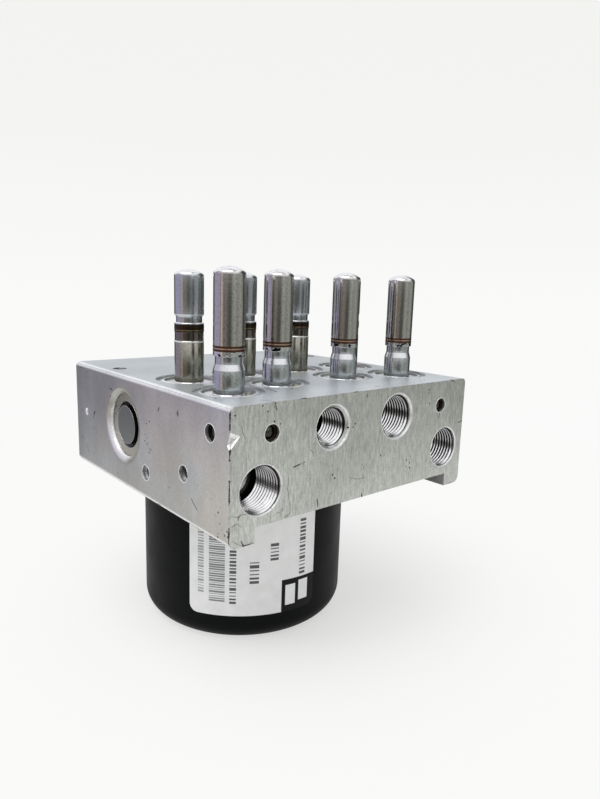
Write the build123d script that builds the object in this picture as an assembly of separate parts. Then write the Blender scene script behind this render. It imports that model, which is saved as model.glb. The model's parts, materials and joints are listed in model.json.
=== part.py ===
from build123d import *

import math
import os

# Hydraulic unit of an anti-lock brake system, standing on the end of its pump motor.
# Millimetres. The origin is the centre of the motor's flat end face, +Z runs up the
# motor shaft to the valve side, the pipe ports of the front face look along -Y.

# ---- fits ----
RUN_GAP = 0.05           # radial clearance of a part that slides or turns
SEAT_GAP = 0.02          # radial clearance of a pressed or staked part
STOP_GAP = 0.1           # end clearance that a stroke leaves at its stop

# ---- valve block ----
BLOCK_WIDTH = 86.9
BLOCK_DEPTH = 88.8
BLOCK_THICK = 29.2       # motor seat to valve face
MOTOR_SETBACK = 54.6     # port face to motor shaft
RAIL_WIDTH = 7.2
RAIL_DROP = 3.9          # rails reach this far below the motor seat
TOP_ROUND = 1.5
RAIL_ROUND = 2.0
PUMP_DROP = 14.6         # valve face to pump axis
GALLERY_RADIUS = 1.5     # drilled passages
FINE_GALLERY_RADIUS = 1.1

# ---- pipe ports ----
LOW_PORT_INSET = 8.85    # from the side face
LOW_PORT_DROP = 20.5
HIGH_PORT_X = 12.2
HIGH_PORT_DROP = 8.4
REAR_PORT_INSET = 8.85
REAR_PORT_DROP = 10.5
WIDE_THREAD_RADIUS = 6.0     # M12 x 1
NARROW_THREAD_RADIUS = 5.0   # M10 x 1
SMALL_CHAMFER = 0.25
MIDDLE_CHAMFER = 0.55
LARGE_CHAMFER = 0.9
THREAD_LENGTH = 9.6
RELIEF_LENGTH = 1.6
RELIEF_DEPTH = 0.3
SEAT_CONE_STEP = 1.0     # flat left between the relief and the pipe seat's cone
SEAT_CONE_LENGTH = 2.2

# ---- closing balls in the drilled passages ----
BALL_RADIUS = 2.2
BALL_MOUTH_DEPTH = 1.2
BALL_LIP_RADIUS = 1.65
BALL_LIP_THICK = 0.4
BALL_POCKET_DEPTH = 5.4
FRONT_BALL_INSET = 11.75
FRONT_BALL_DROP = 7.3
SIDE_BALL_FRONT_SETBACK = 8.0
SIDE_BALL_FRONT_DROP = 7.3
SIDE_BALL_LOW_SETBACK = 20.0
SIDE_BALL_LOW_DROP = 20.1
SIDE_BALL_REAR_SETBACK = 40.3
SIDE_BALL_REAR_DROP = 25.1

# ---- marks and screw holes of the block ----
DIMPLE_SETBACK = 80.8
DIMPLE_DROP = 15.2
DIMPLE_RADIUS = 1.2
DIMPLE_DEPTH = 0.8
NOTCH_DROP = 5.6
NOTCH_HEIGHT = 4.3
NOTCH_WIDTH = 2.8
NOTCH_DEPTH = 1.05
NOTCH_FRONT_SHARE = 0.28     # where along the notch its point lies on the front face
NOTCH_SIDE_SHARE = 0.73
COVER_HOLE_INSET = 5.15
COVER_HOLE_SETBACK = 67.0
COVER_HOLE_RADIUS = 2.1
COVER_HOLE_DEPTH = 12.0

# ---- solenoid valves, heights measured from the valve face ----
OUTER_INLET_INSET = 11.65    # from the side face
OUTER_INLET_SETBACK = 17.8
INNER_INLET_X = 12.75
INNER_INLET_SETBACK = 22.6
OUTER_OUTLET_INSET = 13.05
OUTER_OUTLET_SETBACK = 39.4
INNER_OUTLET_X = 10.45
INNER_OUTLET_SETBACK = 42.3
STAKE_RADIUS = 9.2       # outer edge of the staking groove
STAKE_DEPTH = 0.75
STAKE_FLOOR = 0.9        # width of the groove's flat floor
STAKE_LIP_RADIUS = 7.15
STAKE_LIP_DROP = 0.25
FLANGE_RADIUS = 6.8
FLANGE_DROP = 0.7
FLANGE_THICK = 1.5
SHANK_RADIUS = 5.0
SHANK_DEPTH = 9.0
NOSE_RADIUS = 3.5
NOSE_DEPTH = 14.0
VALVE_RADIUS = 4.0       # the tube that a coil slips over
SLEEVE_WALL = 0.45
NECK_RADIUS = 3.52
PIN_RADIUS = 1.0
SEAT_DEPTH = 12.2        # valve seat below the valve face
ORIFICE_RADIUS = 0.6
VALVE_STROKE = 0.4
ARMATURE_TIP = 0.5       # height and radius lost at a pin's cone
CROWN_KNUCKLE = 1.1      # bend between a tube's wall and its crown
INLET_TOP = 30.55
INLET_CROWN = 2.0
INLET_SEAM = 10.7        # weld between sleeve and body
INLET_NECK_TOP = 8.85
INLET_NECK_BOTTOM = 6.95
INLET_CONE_BOTTOM = 5.25
INLET_SPIGOT = 3.3       # how far the body reaches into the sleeve
INLET_ARMATURE = 13.3
INLET_CHAMBER_RADIUS = 2.4
INLET_CHAMBER_TOP = 6.0
INLET_COLLAR = 0.6
INLET_COLLAR_RADIUS = 2.1
OUTLET_TOP = 29.8
OUTLET_CROWN = 1.8
OUTLET_CAP_BOTTOM = 17.8
OUTLET_NECK_TOP = 17.2
OUTLET_NECK_BOTTOM = 15.5
OUTLET_SEAM = 15.0
OUTLET_BAND_TOP = 13.1
OUTLET_BAND_BOTTOM = 10.6
OUTLET_BAND_DEPTH = 0.1
OUTLET_SPIGOT = 6.1
OUTLET_ARMATURE = 12.4
SPRING_HOLE_RADIUS = 1.75
SPRING_HOLE_DEPTH = 4.0

# ---- springs: mean radius, wire radius, turns or pitch ----
VALVE_SPRING_RADIUS = 1.45
VALVE_SPRING_WIRE = 0.22
VALVE_SPRING_TURNS = 4
PUMP_SPRING_RADIUS = 2.2
PUMP_SPRING_WIRE = 0.32
PUMP_SPRING_PITCH = 2.3
STORE_SPRING_RADIUS = 4.7
STORE_SPRING_WIRE = 0.65
STORE_SPRING_PITCH = 3.0
COIL_STEPS = 8           # straight runs in a turn of wire
WIRE_SIDES = 4

# ---- pump ----
DISH_RADIUS = 11.4       # staked dish round a pump plug
DISH_STEP_RADIUS = 9.2
DISH_STEP_DEPTH = 1.35
DISH_STEP = 0.2
DISH_DEPTH = 1.75
PLUG_RADIUS = 6.8
PLUG_BOSS_RADIUS = 5.55
PLUG_BOSS_DEPTH = 1.15
PLUG_SHOULDER_DEPTH = 3.6
PLUG_DISC_DEPTH = 6.6
PLUG_TAIL_RADIUS = 5.3
PLUG_LENGTH_DEPTH = 12.6
PLUG_HOLLOW_DEPTH = 8.6
PLUG_BORE_DEPTH = 13.2
PISTON_RADIUS = 4.0
PISTON_LENGTH = 14.0
PISTON_CHAMFER = 0.8
SPRING_SEAT_RADIUS = 2.85
PISTON_HOLLOW = 6.0
ECCENTRIC_OFFSET = 1.0
ECCENTRIC_RADIUS = 4.6
ECCENTRIC_HEIGHT = 10.0
RING_RADIUS = 7.0        # needle ring that turns on the eccentric
RING_INSET = 0.5

# ---- low-pressure accumulators ----
STORE_X = 18.0
STORE_RADIUS = 8.0
STORE_FLOOR = 12.2       # pump axis to the accumulator's floor
CAP_DROP = 0.8
CAP_THICK = 2.8
CAP_RECESS_RADIUS = 6.6
CAP_RECESS = 1.3
CAP_BEVEL = 1.0
STORE_PISTON_LENGTH = 7.0
STORE_PISTON_WALL = 2.2
STORE_HOLLOW = 4.4
STORE_GROOVE_START = 2.0
STORE_GROOVE_WIDTH = 2.0
STORE_GROOVE_DEPTH = 1.1

# ---- pump motor ----
CAN_RADIUS = 33.0
CAN_LENGTH = 50.2
CAN_WALL = 2.0
CAN_ROUND = 6.0
FLANGE_PLATE_RADIUS = 34.0
FLANGE_PLATE_THICK = 1.5
EAR_CENTRE_RADIUS = 39.9 # motor shaft to screw
EAR_RADIUS = 6.0
EAR_GAP = 1.25           # between an ear and its rail
SCREW_RADIUS = 2.1
SCREW_REACH = 10.0
SCREW_HEAD_RADIUS = 4.2
SCREW_HEAD_HEIGHT = 3.2
SCREW_KEY = 4.0
SCREW_KEY_DEPTH = 1.8
SHAFT_RADIUS = 4.0
BUSH_RADIUS = 8.0
BUSH_LENGTH = 4.5
BUSH_COLLAR_WALL = 2.0
BEARING_RADIUS = 9.6
BEARING_WIDTH = 5.5
BEARING_GROOVE = 0.6
CHAMBER_ROOM = 2.0       # eccentric chamber above the ring
MAGNET_THICK = 6.0
MAGNET_ANGLE = 74
MAGNET_COUNT = 4
MAGNET_BOTTOM = 9.5
MAGNET_HEIGHT = 29.0
AIR_GAP = 0.6
CORE_BOTTOM = 12.0
CORE_HEIGHT = 23.5
SLOT_COUNT = 12
SLOT_WIDTH = 4.2
SLOT_MOUTH = 1.6
SLOT_ROOT_RADIUS = 13.0
SLOT_CLOSE = 1.8         # tooth tip left outside a slot
COIL_GAP = 0.1
COIL_HEAD = 3.6
COIL_HEAD_INSET = 1.4
COMMUTATOR_RADIUS = 8.5
COMMUTATOR_BOTTOM = 39.8
COMMUTATOR_HEIGHT = 7.0
BAR_GROOVE = 0.5
PLATE_THICK = 3.0
PLATE_GAP = 0.15
BRUSH_SIZE = 5.0
BRUSH_LENGTH = 8.5
BRUSH_HOLDER_WALL = 1.1
BRUSH_BOTTOM = 41.0
TOWER_X = 4.5            # contact tower that stands through the block
TOWER_Y = 17.6
TOWER_RADIUS = 3.4
TOWER_DROP = 0.5
BLADE_SPACING = 2.8
BLADE_WIDTH = 2.4
BLADE_THICK = 0.8
BLADE_DROP = 2.5
BLADE_GAP = 0.1

# ---- label ----
LABEL_THICK = 0.12
LABEL_BOTTOM = 8.9
LABEL_HEIGHT = 36.0
LABEL_START = -154.5     # degrees round the can from +X
LABEL_ANGLE = 69.0

# ---- places that follow from the sizes ----
SEAT_Z = CAN_LENGTH
TOP_Z = SEAT_Z + BLOCK_THICK
RAIL_Z = SEAT_Z - RAIL_DROP
PUMP_Z = TOP_Z - PUMP_DROP
SIDE_X = BLOCK_WIDTH / 2
FRONT_Y = -MOTOR_SETBACK
BACK_Y = FRONT_Y + BLOCK_DEPTH
LOW_PORT_X = SIDE_X - LOW_PORT_INSET
REAR_PORT_X = SIDE_X - REAR_PORT_INSET
FRONT_BALL_X = SIDE_X - FRONT_BALL_INSET
COVER_HOLE_X = SIDE_X - COVER_HOLE_INSET
OUTER_INLET_X = SIDE_X - OUTER_INLET_INSET
OUTER_OUTLET_X = SIDE_X - OUTER_OUTLET_INSET
STORE_DEPTH = BACK_Y - STORE_FLOOR
EAR_X = SIDE_X - RAIL_WIDTH - EAR_GAP - EAR_RADIUS
EAR_Y = math.sqrt(EAR_CENTRE_RADIUS**2 - EAR_X**2)
INLET_PLACES = [
    (-OUTER_INLET_X, FRONT_Y + OUTER_INLET_SETBACK),
    (-INNER_INLET_X, FRONT_Y + INNER_INLET_SETBACK),
    (INNER_INLET_X, FRONT_Y + INNER_INLET_SETBACK),
    (OUTER_INLET_X, FRONT_Y + OUTER_INLET_SETBACK),
]
OUTLET_PLACES = [
    (-OUTER_OUTLET_X, FRONT_Y + OUTER_OUTLET_SETBACK),
    (-INNER_OUTLET_X, FRONT_Y + INNER_OUTLET_SETBACK),
    (INNER_OUTLET_X, FRONT_Y + INNER_OUTLET_SETBACK),
    (OUTER_OUTLET_X, FRONT_Y + OUTER_OUTLET_SETBACK),
]
EARS = [(x, y) for x in (-EAR_X, EAR_X) for y in (-EAR_Y, EAR_Y)]
FRONT = (0, -1, 0)
BACK = (0, 1, 0)
SIDES = {"left": -1, "right": 1}
OVER = 1.0               # how far a cutter stands out of the face it enters

CAN_BORE = CAN_RADIUS - CAN_WALL
BORE_TOP = PUMP_Z + ECCENTRIC_HEIGHT / 2 + CHAMBER_ROOM
PISTON_NOSE = RING_RADIUS + ECCENTRIC_OFFSET + RUN_GAP
PLUG_HOLLOW_END = SIDE_X - PLUG_HOLLOW_DEPTH
SLEEVE_BORE = VALVE_RADIUS - SLEEVE_WALL
ARMATURE_RADIUS = SLEEVE_BORE - RUN_GAP
PIN_BORE = PIN_RADIUS + RUN_GAP
PIN_SEAT_Z = -SEAT_DEPTH + STOP_GAP
PLATE_Z = SEAT_Z - PLATE_THICK
CORE_RADIUS = CAN_BORE - MAGNET_THICK - AIR_GAP
CORE_TOP = CORE_BOTTOM + CORE_HEIGHT


# ---- helpers ----
def turned(*outline):
    """Solid of revolution about Z from the (radius, height) corners of its section."""
    section = make_face(Plane.XZ * Polyline(*outline, close=True))
    return revolve(section, Axis.Z)


def turned_edges(*edges):
    """Solid of revolution about Z from the edges of its section, drawn in X and Y."""
    return revolve(make_face(Plane.XZ * Curve(edges)), Axis.Z)


def looking(place, direction):
    """Location at a place, its Z along the direction that a feature faces."""
    return Plane(origin=place, z_dir=direction).location


def crown(radius, wall_top, height, knuckle):
    """Domed end of a tube: a knuckle bend that runs into a shallow crown on the axis."""
    bend = (radius**2 - 2 * radius * knuckle + height**2) / (2 * (height - knuckle))
    centre = wall_top + height - bend
    share = bend / (bend - knuckle)
    meeting = ((radius - knuckle) * share, centre + (wall_top - centre) * share)
    return [
        TangentArc((radius, wall_top), meeting, tangent=(0, 1)),
        TangentArc((0, wall_top + height), meeting, tangent=(1, 0)),
    ]


def coil_spring(mean_radius, wire, length, turns):
    """Coil spring standing on Z 0, its wire in short straight runs."""
    runs = turns * COIL_STEPS
    rise = (length - 2 * STOP_GAP - 2 * wire) / runs
    turn = 2 * math.pi / COIL_STEPS
    points = [
        Vector(
            mean_radius * math.cos(turn * i),
            mean_radius * math.sin(turn * i),
            STOP_GAP + wire + rise * i,
        )
        for i in range(runs + 1)
    ]
    section = Plane(origin=points[0], z_dir=points[1] - points[0])
    section *= RegularPolygon(wire, WIRE_SIDES)
    return sweep(section, path=Polyline(*points), transition=Transition.RIGHT)


def gallery(start, end, radius=GALLERY_RADIUS):
    """Drilled passage between two points."""
    line = Vector(*end) - Vector(*start)
    cutter = Cylinder(radius, line.length, align=(Align.CENTER, Align.CENTER, Align.MIN))
    return looking(start, line) * cutter


# ---- valve block ----
def block_bar():
    """Bar with rounded top edges and two rails along its underside."""
    height = TOP_Z - RAIL_Z
    bar = Pos(0, RAIL_Z + height / 2) * Rectangle(BLOCK_WIDTH, height)
    channel = Pos(0, RAIL_Z) * Rectangle(BLOCK_WIDTH - 2 * RAIL_WIDTH, 2 * RAIL_DROP)
    section = bar - channel
    outer = section.vertices().filter_by(lambda v: abs(abs(v.X) - SIDE_X) < RAIL_WIDTH / 2)
    top = outer.filter_by(lambda v: v.Y > SEAT_Z)
    section = fillet(top, TOP_ROUND)
    outer = section.vertices().filter_by(lambda v: abs(abs(v.X) - SIDE_X) < RAIL_WIDTH / 2)
    section = fillet(outer.filter_by(lambda v: v.Y < SEAT_Z), RAIL_ROUND)
    plane = Plane(origin=(0, BACK_Y, 0), x_dir=(1, 0, 0), z_dir=FRONT)
    return extrude(plane * section, BLOCK_DEPTH)


def port_cut(thread_radius, chamfer):
    """Blind pipe port: chamfer, thread bore, relief and the cone of the pipe seat."""
    mouth = thread_radius + chamfer
    relief = thread_radius + RELIEF_DEPTH
    floor = THREAD_LENGTH + RELIEF_LENGTH
    return turned(
        (0, OVER), (mouth, OVER), (mouth, 0), (thread_radius, -chamfer),
        (thread_radius, -THREAD_LENGTH), (relief, -THREAD_LENGTH), (relief, -floor),
        (thread_radius - SEAT_CONE_STEP, -floor),
        (GALLERY_RADIUS, -floor - SEAT_CONE_LENGTH), (0, -floor - SEAT_CONE_LENGTH),
    )


def valve_pocket():
    """Stepped valve bore with the staking groove that locks the valve's flange."""
    floor = STAKE_RADIUS - STAKE_FLOOR
    flange_floor = FLANGE_DROP + FLANGE_THICK
    return turned(
        (0, OVER), (STAKE_RADIUS, OVER), (STAKE_RADIUS, 0),
        (STAKE_RADIUS - SEAT_GAP, -STAKE_DEPTH), (floor, -STAKE_DEPTH),
        (STAKE_LIP_RADIUS, -STAKE_LIP_DROP), (FLANGE_RADIUS + SEAT_GAP, -STAKE_LIP_DROP),
        (FLANGE_RADIUS + SEAT_GAP, -flange_floor), (SHANK_RADIUS + SEAT_GAP, -flange_floor),
        (SHANK_RADIUS + SEAT_GAP, -SHANK_DEPTH), (NOSE_RADIUS + SEAT_GAP, -SHANK_DEPTH),
        (NOSE_RADIUS + SEAT_GAP, -NOSE_DEPTH), (GALLERY_RADIUS, -NOSE_DEPTH),
        (GALLERY_RADIUS, -NOSE_DEPTH - 2 * GALLERY_RADIUS),
        (0, -NOSE_DEPTH - 2 * GALLERY_RADIUS),
    )


def ball_pocket():
    """Mouth, staked lip and seat of a closing ball."""
    lip_end = BALL_MOUTH_DEPTH + BALL_LIP_THICK
    radius = BALL_RADIUS + SEAT_GAP
    return turned(
        (0, OVER), (radius, OVER), (radius, -BALL_MOUTH_DEPTH),
        (BALL_LIP_RADIUS, -BALL_MOUTH_DEPTH), (BALL_LIP_RADIUS, -lip_end),
        (radius, -lip_end), (radius, -BALL_POCKET_DEPTH), (0, -BALL_POCKET_DEPTH),
    )


def pump_cut():
    """Staked dish, plug bore and piston bore; Z 0 is the side face."""
    roll = DISH_RADIUS - DISH_STEP_RADIUS
    step = DISH_STEP_DEPTH + DISH_STEP
    bore = PLUG_RADIUS + SEAT_GAP
    piston = PISTON_RADIUS + RUN_GAP
    corners = [
        (DISH_STEP_RADIUS, -DISH_STEP_DEPTH), (DISH_STEP_RADIUS, -step), (bore, -DISH_DEPTH),
        (bore, -PLUG_BORE_DEPTH), (piston, -PLUG_BORE_DEPTH), (piston, -SIDE_X),
        (0, -SIDE_X), (0, OVER), (DISH_RADIUS, OVER), (DISH_RADIUS, 0),
    ]
    bend = (DISH_STEP_RADIUS + 0.45 * roll, -0.25 * DISH_STEP_DEPTH)
    return turned_edges(
        Polyline(*corners), ThreePointArc(corners[-1], bend, corners[0])
    )


def notch():
    """Clamping mark across the front left edge: two flats that meet in a slanted valley."""
    edge = (-SIDE_X, FRONT_Y)
    top = Vector(*edge, TOP_Z - NOTCH_DROP)
    bottom = top - Vector(0, 0, NOTCH_HEIGHT)
    front = top + Vector(NOTCH_WIDTH, 0, -NOTCH_FRONT_SHARE * NOTCH_HEIGHT)
    side = top + Vector(0, NOTCH_DEPTH, -NOTCH_SIDE_SHARE * NOTCH_HEIGHT)
    corners = [(top, bottom, front), (top, side, bottom), (top, front, side), (bottom, side, front)]
    return Solid(Shell([Face(Wire.make_polygon(c)) for c in corners]))


def ball_seats():
    """Every closing ball's mouth: its place, the way it faces and its gallery's end."""
    seats = []
    for side in SIDES.values():
        inlet_x = side * OUTER_INLET_X
        inlet_y = FRONT_Y + OUTER_INLET_SETBACK
        front_z = TOP_Z - FRONT_BALL_DROP
        seats.append(((side * FRONT_BALL_X, FRONT_Y, front_z), FRONT, (inlet_x, inlet_y, front_z)))
        for setback, drop, end_x in (
            (SIDE_BALL_FRONT_SETBACK, SIDE_BALL_FRONT_DROP, FRONT_BALL_X),
            (SIDE_BALL_LOW_SETBACK, SIDE_BALL_LOW_DROP, OUTER_INLET_X),
            (SIDE_BALL_REAR_SETBACK, SIDE_BALL_REAR_DROP, OUTER_OUTLET_X),
        ):
            y, z = FRONT_Y + setback, TOP_Z - drop
            seats.append(((side * SIDE_X, y, z), (side, 0, 0), (side * end_x, y, z)))
    return seats


def front_ports():
    """Places of the front ports, with thread radius and chamfer."""
    low, high = TOP_Z - LOW_PORT_DROP, TOP_Z - HIGH_PORT_DROP
    return [
        ((-LOW_PORT_X, FRONT_Y, low), WIDE_THREAD_RADIUS, SMALL_CHAMFER),
        ((-HIGH_PORT_X, FRONT_Y, high), NARROW_THREAD_RADIUS, LARGE_CHAMFER),
        ((HIGH_PORT_X, FRONT_Y, high), WIDE_THREAD_RADIUS, MIDDLE_CHAMFER),
        ((LOW_PORT_X, FRONT_Y, low), WIDE_THREAD_RADIUS, SMALL_CHAMFER),
    ]


def galleries():
    """Drilled passages that join ports, valves, pump and accumulators."""
    drop = TOP_Z - NOSE_DEPTH
    cuts = []
    for side in SIDES.values():
        low = (side * OUTER_INLET_X, FRONT_Y + OUTER_INLET_SETBACK, TOP_Z - LOW_PORT_DROP)
        cuts.append(gallery((low[0], low[1], drop), low))
        port_floor = FRONT_Y + THREAD_LENGTH + RELIEF_LENGTH
        cuts.append(gallery((side * LOW_PORT_X, port_floor, low[2]), (side * LOW_PORT_X, low[1], low[2])))
        high_z = TOP_Z - HIGH_PORT_DROP
        valve_y = FRONT_Y + INNER_INLET_SETBACK
        cuts.append(gallery((side * HIGH_PORT_X, port_floor, high_z), (side * HIGH_PORT_X, valve_y, high_z)))
        rear = (side * OUTER_OUTLET_X, FRONT_Y + OUTER_OUTLET_SETBACK, TOP_Z - SIDE_BALL_REAR_DROP)
        cuts.append(gallery((rear[0], rear[1], drop), rear))
        rear_z = TOP_Z - REAR_PORT_DROP
        rear_y = BACK_Y - THREAD_LENGTH - RELIEF_LENGTH
        rear_x = side * REAR_PORT_X
        cuts.append(gallery((rear_x, rear_y, rear_z), (rear_x, PISTON_RADIUS, rear_z)))
        store_y = BACK_Y - STORE_DEPTH
        cuts.append(gallery((side * STORE_X, store_y, PUMP_Z), (side * STORE_X, 0, PUMP_Z)))
    for start, direction, end in ball_seats():
        cuts.append(gallery(start, end, FINE_GALLERY_RADIUS))
    return cuts


def valve_block():
    """Machined block with every bore, pocket and passage."""
    cuts = [Pos(x, y, TOP_Z) * valve_pocket() for x, y in INLET_PLACES + OUTLET_PLACES]
    for place, radius, chamfer in front_ports():
        cuts.append(looking(place, FRONT) * port_cut(radius, chamfer))
    for start, direction, end in ball_seats():
        cuts.append(looking(start, direction) * ball_pocket())
    for side in SIDES.values():
        cuts.append(looking((side * SIDE_X, 0, PUMP_Z), (side, 0, 0)) * pump_cut())
        rear = (side * REAR_PORT_X, BACK_Y, TOP_Z - REAR_PORT_DROP)
        cuts.append(looking(rear, BACK) * port_cut(WIDE_THREAD_RADIUS, SMALL_CHAMFER))
        store = turned(
            (0, OVER), (STORE_RADIUS + SEAT_GAP, OVER),
            (STORE_RADIUS + SEAT_GAP, -STORE_DEPTH), (0, -STORE_DEPTH),
        )
        cuts.append(looking((side * STORE_X, BACK_Y, PUMP_Z), BACK) * store)
        cover_hole = turned(
            (0, OVER), (COVER_HOLE_RADIUS, OVER), (COVER_HOLE_RADIUS, -COVER_HOLE_DEPTH),
            (0, -COVER_HOLE_DEPTH - COVER_HOLE_RADIUS / 2),
        )
        cuts.append(Pos(side * COVER_HOLE_X, FRONT_Y + COVER_HOLE_SETBACK, TOP_Z) * cover_hole)
    bore = BEARING_RADIUS + SEAT_GAP
    cuts.append(turned((0, SEAT_Z - OVER), (bore, SEAT_Z - OVER), (bore, BORE_TOP), (0, BORE_TOP)))
    for x, y in EARS:
        cuts.append(gallery((x, y, SEAT_Z - OVER), (x, y, SEAT_Z + SCREW_REACH), SCREW_RADIUS))
    dimple = turned((0, OVER), (DIMPLE_RADIUS, OVER), (DIMPLE_RADIUS, 0), (0, -DIMPLE_DEPTH))
    dimple_place = (-SIDE_X, FRONT_Y + DIMPLE_SETBACK, TOP_Z - DIMPLE_DROP)
    cuts += [looking(dimple_place, (-1, 0, 0)) * dimple, notch()]
    passage = TOWER_RADIUS + PLATE_GAP
    cuts.append(gallery((TOWER_X, TOWER_Y, SEAT_Z - OVER), (TOWER_X, TOWER_Y, TOP_Z + OVER), passage))
    return block_bar() - cuts - galleries()


def ball_plugs():
    """Steel balls pressed behind the staked lips."""
    sink = math.sqrt(BALL_RADIUS**2 - BALL_LIP_RADIUS**2)
    depth = BALL_MOUTH_DEPTH + BALL_LIP_THICK + sink + SEAT_GAP
    return [
        looking(start, direction) * Pos(0, 0, -depth) * Sphere(BALL_RADIUS)
        for start, direction, end in ball_seats()
    ]


# ---- inlet valves: open at rest, the armature pushes its pin down on the seat ----
def flange_and_shank():
    """Outside corners that both valve bodies share, from the orifice up to the flange."""
    return [
        (ORIFICE_RADIUS, -NOSE_DEPTH), (NOSE_RADIUS, -NOSE_DEPTH), (NOSE_RADIUS, -SHANK_DEPTH),
        (SHANK_RADIUS, -SHANK_DEPTH), (SHANK_RADIUS, -FLANGE_DROP - FLANGE_THICK),
        (FLANGE_RADIUS, -FLANGE_DROP - FLANGE_THICK), (FLANGE_RADIUS, -FLANGE_DROP),
        (VALVE_RADIUS, -FLANGE_DROP),
    ]


def inlet_dome():
    """Closed sleeve over the armature, open at its weld seam."""
    wall_top = INLET_TOP - INLET_CROWN
    walls = Polyline(
        (SLEEVE_BORE, wall_top), (SLEEVE_BORE, INLET_SEAM), (VALVE_RADIUS, INLET_SEAM),
        (VALVE_RADIUS, wall_top),
    )
    return turned_edges(
        walls, *crown(VALVE_RADIUS, wall_top, INLET_CROWN, CROWN_KNUCKLE),
        Line((0, INLET_TOP), (0, INLET_TOP - SLEEVE_WALL)),
        *crown(SLEEVE_BORE, wall_top, INLET_CROWN - SLEEVE_WALL, CROWN_KNUCKLE - SLEEVE_WALL),
    )


def inlet_body():
    """Valve body: nose with seat, flange, cone, neck and the spigot inside the sleeve."""
    spigot = SLEEVE_BORE - SEAT_GAP
    spigot_top = INLET_SEAM + INLET_SPIGOT
    return turned(
        *flange_and_shank(),
        (VALVE_RADIUS, INLET_CONE_BOTTOM), (NECK_RADIUS, INLET_NECK_BOTTOM),
        (NECK_RADIUS, INLET_NECK_TOP), (VALVE_RADIUS, INLET_NECK_TOP),
        (VALVE_RADIUS, INLET_SEAM), (spigot, INLET_SEAM), (spigot, spigot_top),
        (PIN_BORE, spigot_top), (PIN_BORE, -INLET_CHAMBER_TOP),
        (INLET_CHAMBER_RADIUS, -INLET_CHAMBER_TOP), (INLET_CHAMBER_RADIUS, -SEAT_DEPTH),
        (ORIFICE_RADIUS, -SEAT_DEPTH),
    )


def inlet_armature():
    """Armature with its pin, collar and sealing tip, held one stroke above the seat."""
    tip = PIN_SEAT_Z + VALVE_STROKE
    bottom = INLET_SEAM + INLET_SPIGOT + VALVE_STROKE + STOP_GAP
    collar_top = -INLET_CHAMBER_TOP - STOP_GAP
    return turned(
        (0, tip), (ARMATURE_TIP, tip), (PIN_RADIUS, tip + ARMATURE_TIP),
        (PIN_RADIUS, collar_top - INLET_COLLAR), (INLET_COLLAR_RADIUS, collar_top - INLET_COLLAR),
        (INLET_COLLAR_RADIUS, collar_top), (PIN_RADIUS, collar_top), (PIN_RADIUS, bottom),
        (ARMATURE_RADIUS, bottom), (ARMATURE_RADIUS, bottom + INLET_ARMATURE),
        (0, bottom + INLET_ARMATURE),
    )


def inlet_spring():
    """Return spring between the seat and the pin's collar."""
    top = -INLET_CHAMBER_TOP - STOP_GAP - INLET_COLLAR
    coil = coil_spring(VALVE_SPRING_RADIUS, VALVE_SPRING_WIRE, top + SEAT_DEPTH, VALVE_SPRING_TURNS)
    return Pos(0, 0, -SEAT_DEPTH) * coil


# ---- outlet valves: closed at rest, the spring presses the needle on the seat ----
def outlet_body():
    """Valve body whose tube carries the armature and ends under the pole."""
    band = VALVE_RADIUS - OUTLET_BAND_DEPTH
    floor = OUTLET_SEAM - OUTLET_SPIGOT - STOP_GAP - VALVE_STROKE - OUTLET_ARMATURE
    return turned(
        *flange_and_shank(),
        (VALVE_RADIUS, OUTLET_BAND_BOTTOM), (band, OUTLET_BAND_BOTTOM + OUTLET_BAND_DEPTH),
        (band, OUTLET_BAND_TOP), (VALVE_RADIUS, OUTLET_BAND_TOP + OUTLET_BAND_DEPTH),
        (VALVE_RADIUS, OUTLET_SEAM), (SLEEVE_BORE, OUTLET_SEAM),
        (SLEEVE_BORE, floor - STOP_GAP), (PIN_BORE, floor - STOP_GAP),
        (PIN_BORE, -SEAT_DEPTH), (ORIFICE_RADIUS, -SEAT_DEPTH),
    )


def outlet_pole():
    """Pole piece: spigot in the tube, neck and domed cap."""
    spigot = SLEEVE_BORE - SEAT_GAP
    wall_top = OUTLET_TOP - OUTLET_CROWN
    corners = [
        (0, OUTLET_TOP), (0, OUTLET_SEAM - OUTLET_SPIGOT), (spigot, OUTLET_SEAM - OUTLET_SPIGOT),
        (spigot, OUTLET_SEAM), (VALVE_RADIUS, OUTLET_SEAM), (VALVE_RADIUS, OUTLET_NECK_BOTTOM),
        (NECK_RADIUS, OUTLET_NECK_BOTTOM), (NECK_RADIUS, OUTLET_NECK_TOP),
        (VALVE_RADIUS, OUTLET_CAP_BOTTOM), (VALVE_RADIUS, wall_top),
    ]
    return turned_edges(
        Polyline(*corners), *crown(VALVE_RADIUS, wall_top, OUTLET_CROWN, CROWN_KNUCKLE)
    )


def outlet_armature():
    """Armature with needle below and spring hole above."""
    top = OUTLET_SEAM - OUTLET_SPIGOT - STOP_GAP - VALVE_STROKE
    bottom = top - OUTLET_ARMATURE
    return turned(
        (0, PIN_SEAT_Z), (ARMATURE_TIP, PIN_SEAT_Z), (PIN_RADIUS, PIN_SEAT_Z + ARMATURE_TIP),
        (PIN_RADIUS, bottom), (ARMATURE_RADIUS, bottom), (ARMATURE_RADIUS, top),
        (SPRING_HOLE_RADIUS, top), (SPRING_HOLE_RADIUS, top - SPRING_HOLE_DEPTH),
        (0, top - SPRING_HOLE_DEPTH),
    )


def outlet_spring():
    """Closing spring between the armature's hole and the pole."""
    pole = OUTLET_SEAM - OUTLET_SPIGOT
    length = STOP_GAP + VALVE_STROKE + SPRING_HOLE_DEPTH
    coil = coil_spring(VALVE_SPRING_RADIUS, VALVE_SPRING_WIRE, length, VALVE_SPRING_TURNS)
    return Pos(0, 0, pole - length) * coil


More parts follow.
